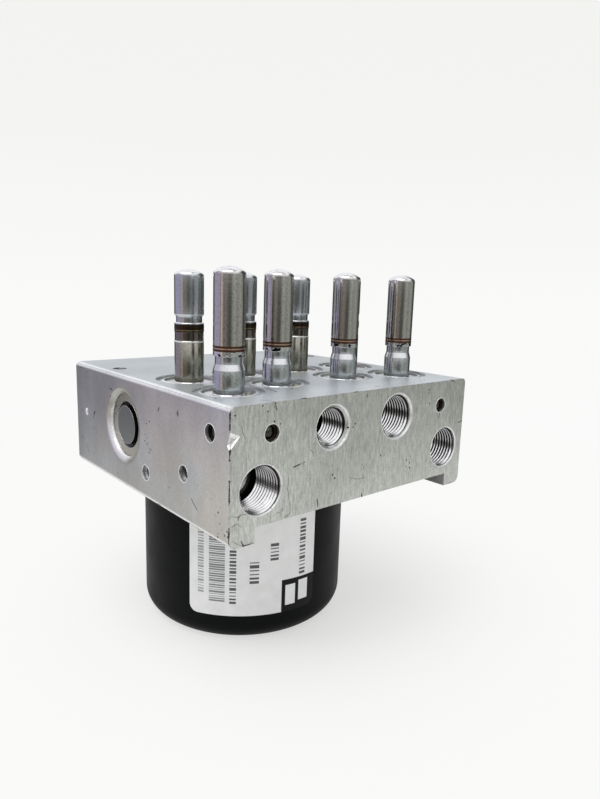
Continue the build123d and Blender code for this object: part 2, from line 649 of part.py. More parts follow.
# ---- pump: the heights below are distances from the motor shaft ----
def pump_plug():
    """Plug with its boss in the dish, sealing disc and hollow tail for the spring."""
    return turned(
        (0, SIDE_X - PLUG_BOSS_DEPTH), (PLUG_BOSS_RADIUS, SIDE_X - PLUG_BOSS_DEPTH),
        (PLUG_BOSS_RADIUS, SIDE_X - PLUG_SHOULDER_DEPTH), (PLUG_RADIUS, SIDE_X - PLUG_SHOULDER_DEPTH),
        (PLUG_RADIUS, SIDE_X - PLUG_DISC_DEPTH), (PLUG_TAIL_RADIUS, SIDE_X - PLUG_DISC_DEPTH),
        (PLUG_TAIL_RADIUS, SIDE_X - PLUG_LENGTH_DEPTH), (SPRING_SEAT_RADIUS, SIDE_X - PLUG_LENGTH_DEPTH),
        (SPRING_SEAT_RADIUS, PLUG_HOLLOW_END), (0, PLUG_HOLLOW_END),
    )


def pump_piston():
    """Piston at its outer dead centre, its nose towards the eccentric's ring."""
    tail = PISTON_NOSE + PISTON_LENGTH
    return turned(
        (0, PISTON_NOSE), (PISTON_RADIUS - PISTON_CHAMFER, PISTON_NOSE),
        (PISTON_RADIUS, PISTON_NOSE + PISTON_CHAMFER), (PISTON_RADIUS, tail),
        (SPRING_SEAT_RADIUS, tail), (SPRING_SEAT_RADIUS, tail - PISTON_HOLLOW),
        (0, tail - PISTON_HOLLOW),
    )


def pump_spring():
    """Spring that keeps the piston on the eccentric's ring."""
    start = PISTON_NOSE + PISTON_LENGTH - PISTON_HOLLOW
    length = PLUG_HOLLOW_END - start
    turns = int(length / PUMP_SPRING_PITCH)
    coil = coil_spring(PUMP_SPRING_RADIUS, PUMP_SPRING_WIRE, length, turns)
    return Pos(0, 0, start) * coil


def eccentric_ring():
    """Ring that turns on the eccentric and drives both pistons."""
    half = ECCENTRIC_HEIGHT / 2 - RING_INSET
    bore = ECCENTRIC_RADIUS + RUN_GAP
    ring = turned((bore, -half), (RING_RADIUS, -half), (RING_RADIUS, half), (bore, half))
    return Pos(0, ECCENTRIC_OFFSET, PUMP_Z) * ring


# ---- accumulators: the heights below are measured out of the back face ----
def store_cap():
    """Pressed cap with a shallow recess."""
    inner = -CAP_DROP - CAP_THICK
    return turned(
        (0, inner), (STORE_RADIUS, inner), (STORE_RADIUS, -CAP_DROP),
        (CAP_RECESS_RADIUS, -CAP_DROP), (CAP_RECESS_RADIUS - CAP_BEVEL, -CAP_DROP - CAP_RECESS),
        (0, -CAP_DROP - CAP_RECESS),
    )


def store_piston():
    """Cup piston with a seal groove, at the empty end of its bore."""
    head = -STORE_DEPTH + STOP_GAP
    tail = head + STORE_PISTON_LENGTH
    radius = STORE_RADIUS - RUN_GAP
    groove = radius - STORE_GROOVE_DEPTH
    hollow = radius - STORE_PISTON_WALL
    groove_start = head + STORE_GROOVE_START
    groove_end = groove_start + STORE_GROOVE_WIDTH
    return turned(
        (0, head), (radius, head), (radius, groove_start), (groove, groove_start),
        (groove, groove_end), (radius, groove_end), (radius, tail), (hollow, tail),
        (hollow, tail - STORE_HOLLOW), (0, tail - STORE_HOLLOW),
    )


def store_spring():
    """Spring between the piston's cup and the cap."""
    start = -STORE_DEPTH + STOP_GAP + STORE_PISTON_LENGTH - STORE_HOLLOW
    length = -CAP_DROP - CAP_THICK - start
    turns = int(length / STORE_SPRING_PITCH)
    coil = coil_spring(STORE_SPRING_RADIUS, STORE_SPRING_WIRE, length, turns)
    return Pos(0, 0, start) * coil


# ---- motor ----
def motor_can():
    """Drawn steel can with a rounded end, a bush collar and a flange with four ears."""
    inner_round = CAN_ROUND - CAN_WALL
    collar = BUSH_RADIUS + SEAT_GAP
    collar_top = CAN_WALL + BUSH_LENGTH - STOP_GAP
    outline = [
        (CAN_RADIUS, CAN_ROUND), (CAN_RADIUS, SEAT_Z), (CAN_BORE, SEAT_Z), (CAN_BORE, CAN_ROUND),
        (CAN_BORE - inner_round, CAN_WALL), (collar + BUSH_COLLAR_WALL, CAN_WALL),
        (collar + BUSH_COLLAR_WALL, collar_top), (collar, collar_top), (collar, CAN_WALL),
        (0, CAN_WALL), (0, 0), (CAN_RADIUS - CAN_ROUND, 0),
    ]
    cup = turned_edges(
        Polyline(*outline[:4]), RadiusArc(outline[3], outline[4], inner_round),
        Polyline(*outline[4:]), RadiusArc(outline[-1], outline[0], -CAN_ROUND),
    )
    plate = Circle(FLANGE_PLATE_RADIUS)
    for x, y in EARS:
        arm = Rectangle(math.hypot(x, y), 2 * EAR_RADIUS, align=(Align.MIN, Align.CENTER))
        plate += Rot(0, 0, math.degrees(math.atan2(y, x))) * arm
        plate += Pos(x, y) * Circle(EAR_RADIUS)
    for x, y in EARS:
        plate -= Pos(x, y) * Circle(SCREW_RADIUS + PLATE_GAP)
    plate -= Circle((CAN_RADIUS + CAN_BORE) / 2)
    return cup + Pos(0, 0, SEAT_Z - FLANGE_PLATE_THICK) * extrude(plate, FLANGE_PLATE_THICK)


def motor_screws():
    """Socket screws through the ears into the block."""
    head_bottom = SEAT_Z - FLANGE_PLATE_THICK - SCREW_HEAD_HEIGHT
    screw = turned(
        (0, head_bottom), (SCREW_HEAD_RADIUS, head_bottom),
        (SCREW_HEAD_RADIUS, SEAT_Z - FLANGE_PLATE_THICK),
        (SCREW_RADIUS - SEAT_GAP, SEAT_Z - FLANGE_PLATE_THICK),
        (SCREW_RADIUS - SEAT_GAP, SEAT_Z + SCREW_REACH - STOP_GAP),
        (0, SEAT_Z + SCREW_REACH - STOP_GAP),
    )
    key = extrude(RegularPolygon(SCREW_KEY / 2, 6, major_radius=False), SCREW_KEY_DEPTH)
    screw -= Pos(0, 0, head_bottom) * key
    return [Pos(x, y, 0) * screw for x, y in EARS]


def magnets():
    """Ferrite arcs round the inside of the can."""
    outer = CAN_BORE - PLATE_GAP
    section = Plane.XZ * (
        Pos(outer - MAGNET_THICK / 2, MAGNET_BOTTOM + MAGNET_HEIGHT / 2)
        * Rectangle(MAGNET_THICK, MAGNET_HEIGHT)
    )
    arc = revolve(section, Axis.Z, MAGNET_ANGLE)
    step = 360 / MAGNET_COUNT
    return [Rot(0, 0, step * i + (step - MAGNET_ANGLE) / 2) * arc for i in range(MAGNET_COUNT)]


def tail_bush():
    """Sintered bush in the can's collar."""
    bore = SHAFT_RADIUS + RUN_GAP
    top = CAN_WALL + BUSH_LENGTH
    return turned((bore, CAN_WALL), (BUSH_RADIUS, CAN_WALL), (BUSH_RADIUS, top), (bore, top))


def drive_bearing():
    """Ball bearing at the block's bore, with a shield groove on both faces."""
    bore = SHAFT_RADIUS + RUN_GAP
    top = SEAT_Z + BEARING_WIDTH
    third = (BEARING_RADIUS - bore) / 3
    inner, outer = bore + third, BEARING_RADIUS - third
    return turned(
        (bore, SEAT_Z), (inner, SEAT_Z), (inner, SEAT_Z + BEARING_GROOVE),
        (outer, SEAT_Z + BEARING_GROOVE), (outer, SEAT_Z), (BEARING_RADIUS, SEAT_Z),
        (BEARING_RADIUS, top), (outer, top), (outer, top - BEARING_GROOVE),
        (inner, top - BEARING_GROOVE), (inner, top), (bore, top),
    )


def rotor_shaft():
    """Shaft from the tail bush to the eccentric that drives the pump."""
    start = CAN_WALL + STOP_GAP
    height = PUMP_Z - ECCENTRIC_HEIGHT / 2 - start
    standing = (Align.CENTER, Align.CENTER, Align.MIN)
    shaft = Pos(0, 0, start) * Cylinder(SHAFT_RADIUS, height, align=standing)
    return shaft + Pos(0, ECCENTRIC_OFFSET, PUMP_Z) * Cylinder(ECCENTRIC_RADIUS, ECCENTRIC_HEIGHT)


def slot_section(width, mouth, root, tip):
    """Section of one winding slot, from its root out, with a narrower mouth."""
    slot = Pos(root, 0) * Rectangle(tip - root, width, align=(Align.MIN, Align.CENTER))
    if mouth:
        slot += Pos(root, 0) * Rectangle(CORE_RADIUS, mouth, align=(Align.MIN, Align.CENTER))
    return slot


def rotor_core():
    """Laminated stack with open winding slots."""
    core = Circle(CORE_RADIUS) - Circle(SHAFT_RADIUS + SEAT_GAP)
    slot = slot_section(SLOT_WIDTH, SLOT_MOUTH, SLOT_ROOT_RADIUS, CORE_RADIUS - SLOT_CLOSE)
    for i in range(SLOT_COUNT):
        core -= Rot(0, 0, 360 / SLOT_COUNT * i) * slot
    return Pos(0, 0, CORE_BOTTOM) * extrude(core, CORE_HEIGHT)


def rotor_windings():
    """Copper in the slots, joined by the coil heads above and below the core."""
    bar = slot_section(
        SLOT_WIDTH - 2 * COIL_GAP, 0, SLOT_ROOT_RADIUS + COIL_GAP, CORE_RADIUS - SLOT_CLOSE - COIL_GAP
    )
    bars = Sketch() + [Rot(0, 0, 360 / SLOT_COUNT * i) * bar for i in range(SLOT_COUNT)]
    outer = CORE_RADIUS - COIL_HEAD_INSET
    inner = SLOT_ROOT_RADIUS - COIL_HEAD_INSET
    windings = Pos(0, 0, CORE_BOTTOM - COIL_HEAD) * extrude(bars, CORE_HEIGHT + 2 * COIL_HEAD)
    for low in (CORE_BOTTOM - COIL_GAP - COIL_HEAD, CORE_TOP + COIL_GAP):
        high = low + COIL_HEAD
        windings += turned(
            (inner, low + COIL_HEAD_INSET), (inner + COIL_HEAD_INSET, low),
            (outer - COIL_HEAD_INSET, low), (outer, low + COIL_HEAD_INSET),
            (outer, high - COIL_HEAD_INSET), (outer - COIL_HEAD_INSET, high),
            (inner + COIL_HEAD_INSET, high), (inner, high - COIL_HEAD_INSET),
        )
    return windings


def commutator():
    """Copper bars round the shaft under the brushes."""
    ring = Circle(COMMUTATOR_RADIUS) - Circle(SHAFT_RADIUS + SEAT_GAP)
    for i in range(SLOT_COUNT):
        ring -= Rot(0, 0, 360 / SLOT_COUNT * i) * (
            Pos(COMMUTATOR_RADIUS, 0) * Rectangle(2 * BAR_GROOVE, BAR_GROOVE)
        )
    return Pos(0, 0, COMMUTATOR_BOTTOM) * extrude(ring, COMMUTATOR_HEIGHT)


def brush_start():
    """Distance of a brush's face from the shaft."""
    return COMMUTATOR_RADIUS + RUN_GAP


def brush_plate():
    """Moulded plate in the can's mouth with two brush boxes and the contact tower."""
    plate = Pos(0, 0, PLATE_Z) * Cylinder(
        CAN_BORE - PLATE_GAP, PLATE_THICK - STOP_GAP, align=(Align.CENTER, Align.CENTER, Align.MIN)
    )
    box = BRUSH_SIZE + 2 * PLATE_GAP + 2 * BRUSH_HOLDER_WALL
    start = COMMUTATOR_RADIUS + 2 * BRUSH_HOLDER_WALL
    length = brush_start() + BRUSH_LENGTH + BRUSH_HOLDER_WALL - start
    low = BRUSH_BOTTOM - PLATE_GAP - BRUSH_HOLDER_WALL
    upward = (Align.MIN, Align.CENTER, Align.MIN)
    for turn in (0, 180):
        holder = Pos(start, 0, low) * Box(length, box, PLATE_Z - low, align=upward)
        channel = Pos(0, 0, BRUSH_BOTTOM - PLATE_GAP) * Box(
            brush_start() + BRUSH_LENGTH, BRUSH_SIZE + 2 * PLATE_GAP, BRUSH_SIZE + 2 * PLATE_GAP,
            align=upward,
        )
        plate += Rot(0, 0, turn) * holder
        plate -= Rot(0, 0, turn) * channel
    plate -= Cylinder(COMMUTATOR_RADIUS + 2 * PLATE_GAP, 2 * TOP_Z)
    plate += gallery(
        (TOWER_X, TOWER_Y, PLATE_Z), (TOWER_X, TOWER_Y, TOP_Z - TOWER_DROP), TOWER_RADIUS
    )
    for place in blade_places():
        plate -= place * Box(
            BLADE_WIDTH + 2 * BLADE_GAP, BLADE_THICK + 2 * BLADE_GAP, 2 * TOP_Z
        )
    return plate


def blade_places():
    """Feet of the two contacts in the tower."""
    return [
        Pos(TOWER_X, TOWER_Y + side * BLADE_SPACING / 2, PLATE_Z) for side in SIDES.values()
    ]


def carbon_brushes():
    """Two brushes in their boxes, just clear of the commutator."""
    brush = Pos(brush_start(), 0, BRUSH_BOTTOM) * Box(
        BRUSH_LENGTH - PLATE_GAP, BRUSH_SIZE, BRUSH_SIZE, align=(Align.MIN, Align.CENTER, Align.MIN)
    )
    return [brush, Rot(0, 0, 180) * brush]


def terminal_pins():
    """Flat contacts that run up the tower to the control unit."""
    height = TOP_Z - BLADE_DROP - PLATE_Z
    blade = Box(BLADE_WIDTH, BLADE_THICK, height, align=(Align.CENTER, Align.CENTER, Align.MIN))
    return [place * blade for place in blade_places()]


def motor_label():
    """Printed label wrapped round the can's front left quarter."""
    inner = CAN_RADIUS + SEAT_GAP
    section = Plane.XZ * (
        Pos(inner + LABEL_THICK / 2, LABEL_BOTTOM + LABEL_HEIGHT / 2)
        * Rectangle(LABEL_THICK, LABEL_HEIGHT)
    )
    return Rot(0, 0, LABEL_START) * revolve(section, Axis.Z, LABEL_ANGLE)


# ---- nodes ----
def valve_nodes():
    """The eight valves, numbered from left to right as seen from the ports."""
    nodes = {}
    inlet = {
        "inlet_dome": inlet_dome(), "inlet_body": inlet_body(),
        "inlet_armature": inlet_armature(), "inlet_spring": inlet_spring(),
    }
    outlet = {
        "outlet_pole": outlet_pole(), "outlet_body": outlet_body(),
        "outlet_armature": outlet_armature(), "outlet_spring": outlet_spring(),
    }
    for pieces, places in ((inlet, INLET_PLACES), (outlet, OUTLET_PLACES)):
        for number, (x, y) in enumerate(places, start=1):
            for name, piece in pieces.items():
                nodes[f"{name}_{number}"] = Pos(x, y, TOP_Z) * piece
    return nodes


def side_nodes():
    """Pump and accumulator pieces, one set for each side."""
    nodes = {"eccentric_ring": eccentric_ring()}
    pump = {"pump_plug": pump_plug(), "pump_piston": pump_piston(), "pump_spring": pump_spring()}
    store = {
        "accumulator_cap": store_cap(), "accumulator_piston": store_piston(),
        "accumulator_spring": store_spring(),
    }
    for word, side in SIDES.items():
        pump_place = looking((0, 0, PUMP_Z), (side, 0, 0))
        store_place = looking((side * STORE_X, BACK_Y, PUMP_Z), BACK)
        nodes.update({f"{name}_{word}": pump_place * piece for name, piece in pump.items()})
        nodes.update({f"{name}_{word}": store_place * piece for name, piece in store.items()})
    return nodes


def motor_nodes():
    """Motor pieces, from the can inwards."""
    return {
        "motor_can": motor_can(), "motor_screws": motor_screws(), "motor_magnets": magnets(),
        "tail_bush": tail_bush(), "drive_bearing": drive_bearing(), "rotor_shaft": rotor_shaft(),
        "rotor_core": rotor_core(), "rotor_windings": rotor_windings(),
        "commutator": commutator(), "brush_plate": brush_plate(),
        "carbon_brushes": carbon_brushes(), "terminal_pins": terminal_pins(),
        "motor_label": motor_label(),
    }


def write_nodes():
    """Write one STEP file for each node."""
    os.makedirs("parts", exist_ok=True)
    nodes = {"valve_block": valve_block(), "ball_plugs": ball_plugs()}
    nodes.update(valve_nodes())
    nodes.update(side_nodes())
    nodes.update(motor_nodes())
    for name, shape in nodes.items():
        if isinstance(shape, list):
            shape = Compound(children=shape)
        export_step(shape, f"parts/{name}.step")
    print(len(nodes), "nodes")


write_nodes()
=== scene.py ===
"""Looks of an anti-lock brake hydraulic unit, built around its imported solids."""

import json
import logging
import math
from dataclasses import dataclass, field
from enum import Enum
from typing import Iterable, Sequence

import bmesh
import bpy
from mathutils import Matrix, Vector


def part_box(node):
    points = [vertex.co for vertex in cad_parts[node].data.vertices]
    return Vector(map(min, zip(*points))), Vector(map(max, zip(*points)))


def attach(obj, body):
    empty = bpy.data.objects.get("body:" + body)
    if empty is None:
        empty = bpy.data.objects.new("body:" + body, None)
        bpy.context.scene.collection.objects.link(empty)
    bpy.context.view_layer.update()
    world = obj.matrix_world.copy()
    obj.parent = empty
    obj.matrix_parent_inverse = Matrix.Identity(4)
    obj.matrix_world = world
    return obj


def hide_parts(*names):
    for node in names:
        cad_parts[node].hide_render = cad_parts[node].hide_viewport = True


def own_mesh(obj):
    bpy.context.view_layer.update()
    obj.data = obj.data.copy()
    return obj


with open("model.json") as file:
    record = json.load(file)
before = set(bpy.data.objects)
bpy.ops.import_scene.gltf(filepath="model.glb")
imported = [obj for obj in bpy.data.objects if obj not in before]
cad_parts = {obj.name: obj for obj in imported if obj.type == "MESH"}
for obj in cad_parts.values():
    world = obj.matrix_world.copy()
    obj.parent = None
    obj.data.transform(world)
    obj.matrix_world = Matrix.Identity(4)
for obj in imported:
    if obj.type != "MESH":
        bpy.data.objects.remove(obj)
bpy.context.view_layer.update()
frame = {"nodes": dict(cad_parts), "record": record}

LOG = logging.getLogger("hydraulic_unit")
MM = 0.001
UNIT = "unit"
FACED = 0.7  # share of a normal along an axis from which a surface counts as facing that way
Wire = bpy.types.NodeSocket
Pair = tuple[float, float]
Corner = Pair
Triple = tuple[float, float, float]
Colour = Triple
Stops = Sequence[Pair]
ColourStops = Sequence[tuple[float, Colour]]


class Socket(Enum):
    """Kinds of modifier inputs that the node trees take."""

    LENGTH = "NodeSocketFloat"
    COUNT = "NodeSocketInt"
    MATERIAL = "NodeSocketMaterial"
    SHAPE = "NodeSocketGeometry"


class Facing(Enum):
    """Upright faces of the valve block, each as the direction that it looks."""

    FRONT = (0.0, -1.0, 0.0)
    BACK = (0.0, 1.0, 0.0)
    LEFT = (-1.0, 0.0, 0.0)
    RIGHT = (1.0, 0.0, 0.0)


# ---------------------------------------------------------------- node trees of any kind


class Nodes:
    """Short calls that add nodes to a tree and feed their inputs."""

    def __init__(self, tree: bpy.types.NodeTree) -> None:
        """Empty a tree and work on it."""
        self.tree = tree
        tree.nodes.clear()

    def feed(self, target: Wire, value: object) -> None:
        """Link a socket to an input or set a constant on it; None leaves it alone."""
        if isinstance(value, Wire):
            self.tree.links.new(value, target)
        elif value is not None:
            target.default_value = value

    def node(self, kind: str, *values: object, **named: object) -> bpy.types.Node:
        """Add a node.

        Args:
            kind: Type name of the node.
            values: Sockets or constants for its first inputs, in order.
            named: Settings, in lower case, and inputs, capitalised and with _ for spaces.

        Returns:
            The node.
        """
        node = self.tree.nodes.new(kind)
        for name in filter(str.islower, named):
            setattr(node, name, named[name])
        for target, value in zip(node.inputs, values):
            self.feed(target, value)
        for name in named:
            if not name.islower():
                self.feed(node.inputs[name.replace("_", " ")], named[name])
        return node

    def math(self, how: str, first: object, *others: object) -> Wire:
        """Result of a Math node, repeated from the left over further values.

        Args:
            how: Operation of the node.
            first: Socket or number.
            others: Second operands; none for an operation on one number.

        Returns:
            The result's socket.
        """
        for other in others or (None,):
            first = self.node("ShaderNodeMath", first, other, operation=how).outputs[0]
        return first

    def times(self, *values: object) -> Wire:
        """Product of several sockets or numbers."""
        return self.math("MULTIPLY", *values)

    def plus(self, *values: object) -> Wire:
        """Sum of several sockets or numbers."""
        return self.math("ADD", *values)

    def minus(self, first: object, second: object) -> Wire:
        """Difference of two sockets or numbers."""
        return self.math("SUBTRACT", first, second)

    def over(self, value: object, limit: object) -> Wire:
        """1 where a value is over a limit, and 0 elsewhere."""
        return self.math("GREATER_THAN", value, limit)

    def under(self, value: object, limit: object) -> Wire:
        """1 where a value is under a limit, and 0 elsewhere."""
        return self.math("LESS_THAN", value, limit)

    def size(self, value: object) -> Wire:
        """Value without its sign."""
        return self.math("ABSOLUTE", value)

    def split(self, vector: Wire) -> tuple[Wire, ...]:
        """X, Y and Z of a vector."""
        return tuple(self.node("ShaderNodeSeparateXYZ", vector).outputs)

    def ramp(self, value: object, *stops: tuple[float, float | Colour]) -> Wire:
        """Ramp of greys or colours.

        Args:
            value: Socket that runs along the ramp.
            stops: Pairs of position and grey or colour.

        Returns:
            The colour's socket.
        """
        node = self.node("ShaderNodeValToRGB", value)
        points = node.color_ramp.elements
        while len(points) < len(stops):
            points.new(0.5)
        for point, (at, tone) in zip(points, stops):
            point.position = at
            point.color = (*tone, 1.0) if isinstance(tone, tuple) else (tone, tone, tone, 1.0)
        return node.outputs[0]

    def rise(self, value: object, low: float, high: float) -> Wire:
        """0 up to a low value, 1 from a high one on, and a slope between them."""
        return self.ramp(value, (low, 0.0), (high, 1.0))

    def fall(self, value: object, low: float, high: float) -> Wire:
        """1 up to a low value, 0 from a high one on, and a slope between them."""
        return self.ramp(value, (low, 1.0), (high, 0.0))

    def ramp_over(self, value: object, low: float, high: float, stops: Stops | ColourStops) -> Wire:
        """Ramp whose stops are given over a range of their own.

        Args:
            value: Socket that runs along the ramp.
            low: Value at the ramp's start.
            high: Value at the ramp's end.
            stops: Pairs of value and grey or colour.

        Returns:
            The colour's socket.
        """
        share = self.node("ShaderNodeMapRange", value, low, high).outputs[0]
        return self.ramp(share, *(((at - low) / (high - low), tone) for at, tone in stops))

    def mixed(self, share: object, first: object, second: object) -> Wire:
        """Colour between two colours: a share of 0 gives the first and 1 the second."""
        node = self.node("ShaderNodeMix", share, data_type="RGBA")
        for target, value in zip(node.inputs[6:8], (first, second)):
            self.feed(target, (*value, 1.0) if isinstance(value, tuple) else value)
        return node.outputs[2]

    def mix_shaders(self, share: object, first: Wire, second: Wire) -> Wire:
        """Shader between two shaders: a share of 0 gives the first and 1 the second."""
        return self.node("ShaderNodeMixShader", share, first, second).outputs[0]


# ---------------------------------------------------------------- materials


class Shading(Nodes):
    """Node tree of one material round a Principled shader."""

    def __init__(self, name: str) -> None:
        """Start a material with this name."""
        self.material = bpy.data.materials.new(name)
        self.material.use_nodes = True
        super().__init__(self.material.node_tree)
        self.shader = self.node("ShaderNodeBsdfPrincipled")
        self.output = self.node("ShaderNodeOutputMaterial", self.shader.outputs[0])
        self.place = self.node("ShaderNodeTexCoord").outputs["Object"]

    def stretched(
        self, scale: Sequence[float], turn: Sequence[float] = (0, 0, 0), shift: Sequence[float] = (0, 0, 0)
    ) -> Wire:
        """Object coordinates scaled, turned and shifted.

        Args:
            scale: Factor along each axis.
            turn: Turn about each axis in degrees.
            shift: Distance along each axis.

        Returns:
            The coordinates' socket.
        """
        turned = [math.radians(angle) for angle in turn]
        return self.node("ShaderNodeMapping", self.place, shift, turned, scale).outputs[0]

    def noise(
        self, scale: float, detail: float = 4.0, rough: float = 0.5, at: Wire | None = None, warp: float = 0.0
    ) -> Wire:
        """Noise value.

        Args:
            scale: Cells per metre.
            detail: Octaves.
            rough: Share of the finer octaves.
            at: Coordinates, or None for plain object coordinates.
            warp: Distortion.

        Returns:
            The value's socket.
        """
        node = self.node(
            "ShaderNodeTexNoise", at or self.place, Scale=scale, Detail=detail, Roughness=rough,
            Distortion=warp,
        )
        return node.outputs["Fac"]

    def cells(self, scale: float) -> Wire:
        """Distance to the nearest of scattered points, so many to a metre."""
        return self.node("ShaderNodeTexVoronoi", self.place, Scale=scale).outputs["Distance"]

    def patches(self, recipe: Triple, detail: float, rough: float, more: object = 0.0) -> Wire:
        """Mask of scattered patches.

        Args:
            recipe: Cells per metre, and the noise values where a patch starts and where it is full.
            detail: Octaves.
            rough: Share of the finer octaves.
            more: What is added to the noise.

        Returns:
            The mask's socket.
        """
        cells, low, high = recipe
        return self.rise(self.plus(self.noise(cells, detail, rough), more), low, high)

    def scaled(self, colour: object, factor: object) -> Wire:
        """Colour times a factor."""
        return self.node("ShaderNodeVectorMath", colour, operation="SCALE", Scale=factor).outputs[0]

    def tinted(self, colour: object, tint: object) -> Wire:
        """Two colours multiplied."""
        return self.node("ShaderNodeVectorMath", colour, tint, operation="MULTIPLY").outputs[0]

    def bump(self, height: object, depth: float, normal: Wire | None = None) -> Wire:
        """Bumped normal.

        Args:
            height: Height socket from 0 to 1.
            depth: Height of the relief in metres.
            normal: Normal to start from.

        Returns:
            The normal's socket.
        """
        return self.node("ShaderNodeBump", Height=height, Distance=depth, Normal=normal).outputs[0]

    def normal_parts(self) -> tuple[Wire, ...]:
        """X, Y and Z of the direction that the surface faces."""
        return self.split(self.node("ShaderNodeNewGeometry").outputs["True Normal"])

    def finish(self, **inputs: object) -> bpy.types.Material:
        """Feed the shader's inputs, named with _ for spaces, and give the material."""
        for name, value in inputs.items():
            colour = isinstance(value, tuple)
            self.feed(self.shader.inputs[name.replace("_", " ")], (*value, 1.0) if colour else value)
        return self.material


@dataclass(frozen=True)
class MilledAlloy:
    """Extruded and milled aluminium: grained port faces, smooth sides and a valve face painted paler as if
    lit from above.
    """

    # base colour of each face, partly its own finish and partly painted light: the valve face, which looks
    # up, is painted paler and bluer as if lit from above
    port_face: Colour = (0.585, 0.595, 0.565)
    side_face: Colour = (0.50, 0.50, 0.485)
    valve_face: Colour = (0.58, 0.61, 0.64)
    bore_low: Colour = (0.62, 0.62, 0.64)
    # dark of the upper bores: fluid film and painted shade
    bore_fluid_and_shade: Colour = (0.05, 0.036, 0.028)
    # near white of the rounded edges, partly their polish and partly painted highlight; on the dish wall it
    # is painted highlight only
    polish_and_highlight: Colour = (0.90, 0.91, 0.91)
    warm: Colour = (1.03, 0.99, 0.94)
    cool: Colour = (0.97, 1.0, 1.005)
    nick: Colour = (0.035, 0.033, 0.03)
    smear: Pair = (0.84, 1.10)
    skin_depth: float = 0.35 * MM
    bore_depth: float = 0.9 * MM
    relief: Pair = (8.8 * MM, 11.6 * MM)
    dish_reach: float = 11.6 * MM
    dish_sink: float = 0.02 * MM
    dish_face: Colour = (0.62, 0.60, 0.50)
    # painted highlight round the dish wall: degrees round the plug from the rear, and the share of near white
    # there
    dish_wall_highlight: Stops = (
        (-180, 0.1), (-108, 0.15), (-92, 0.85), (-45, 1.0), (-12, 0.95), (4, 0.30), (28, 0.08),
        (46, 0.30), (72, 0.32), (92, 0.06), (180, 0.08),
    )
    # painted light and shade on the dish floor: degrees round the plug from the rear, and the brightness of
    # the dish colour there
    dish_floor_shading: Stops = (
        (-180, 0.58), (-100, 0.86), (-40, 1.0), (0, 0.74), (28, 0.46), (70, 0.44), (105, 0.58), (180, 0.56),
    )
    roughness: float = 0.36
    brushed_roughness: float = 0.10
    rounded_roughness: float = 0.10
    metallic: float = 0.88
    valve_face_paling: float = 0.24
    grain_contrast: float = 0.66
    dust_contrast: float = 0.22
    grain_relief: float = 0.000012
    nick_relief: float = 0.00006
    edge_reach: float = 0.45 * MM
    seat_gap: float = 0.2 * MM
    roundness: Pair = (0.93, 0.995)  # largest part of a normal: still rounded, and flat
    # painted highlight: the valve face is up to 1.3 times as bright at its front edge, fading out 15 mm
    # behind the port face
    front_highlight: Stops = ((0.0, 1.3), (0.006, 1.25), (0.015, 1.0))  # over metres behind the port face
    # grain: cells per metre and stretch along each axis, then the noise values spread to 0 and 1
    fine_grain: tuple[float, Triple] = (3600, (1, 1, 0.14))
    broad_grain: tuple[float, Triple] = (1300, (1, 1, 0.20))
    grain_lean: Triple = (0, 9, 0)
    spread: Pair = (0.3, 0.7)
    cloud_cells: float = 38
    cloud: Stops = ((0.3, 0.84), (0.72, 1.06))
    # side faces: painted shade, darker from front to rear and from head to foot
    rear_shade: Stops = ((0.0, 1.14), (0.5, 0.97), (1.0, 0.84))
    foot_shade: Stops = ((0.4, 1.0), (1.0, 0.86))
    warmth_cells: float = 34
    warmth: Pair = (0.44, 0.60)
    smear_cells: float = 85
    smear_lean: Triple = (38, 0, 0)
    smear_stretch: Triple = (1, 1, 0.45)
    smear_noise: Pair = (0.33, 0.67)
    # drop, as a share of the height, where the bores turn from the dark of fluid film and painted shade to
    # their bright colour
    fluid_and_shade_line: Pair = (0.57, 0.66)
    # damage: metres over which the lower left corner shows wear, and how much more it has
    worn_corner: Triple = (0.03, 0.012, 0.022)
    nearness: Stops = ((0.0, 0.16), (0.9, 0.0))
    pit_cells: float = 620
    pit_rim: Pair = (0.12, 0.20)
    scratch_cells: float = 55
    scratch_rim: Pair = (0.0035, 0.006)
    head_share: float = 0.6
    # patches: cells per metre, and the noise values where a patch starts and where it is full
    dust: Triple = (1500, 0.3, 0.7)
    ragged: Triple = (700, 0.3, 0.7)
    pitted: Triple = (95, 0.61, 0.64)
    scratched: Triple = (170, 0.62, 0.66)
    broken: Triple = (260, 0.48, 0.52)
    rare: Triple = (210, 0.58, 0.61)

    def material(self) -> bpy.types.Material:
        """Build the material."""
        s = Shading("milled_alloy")
        look = s.normal_parts()
        front, above = s.over(s.size(look[1]), FACED), s.over(look[2], FACED)
        steepest = s.math("MAXIMUM", *(s.size(part) for part in look))
        around, in_dish = self.dish_place(s)
        flat = s.minus(1.0, in_dish)
        # painted highlight: the dish wall takes the near white at the angles given round the plug, and the
        # rounded edges of the faces take it all along
        dish_highlight = s.times(in_dish, self.around_dish(s, around, self.dish_wall_highlight))
        skin = s.times(s.minus(1.0, self.deeper_than(s, self.skin_depth)), flat)
        rounded = s.times(s.fall(steepest, *self.roundness), s.plus(dish_highlight, skin))
        # painted light and shade: the dish floor is brighter and darker by angle round the plug
        dish_shading = s.scaled(self.dish_face, self.around_dish(s, around, self.dish_floor_shading))
        side = s.mixed(in_dish, self.sides(s), dish_shading)
        inward = self.shares(s)[0]
        # painted highlight along the valve face's front edge
        painted_front_highlight = s.ramp_over(inward, 0.0, 0.1, self.front_highlight)
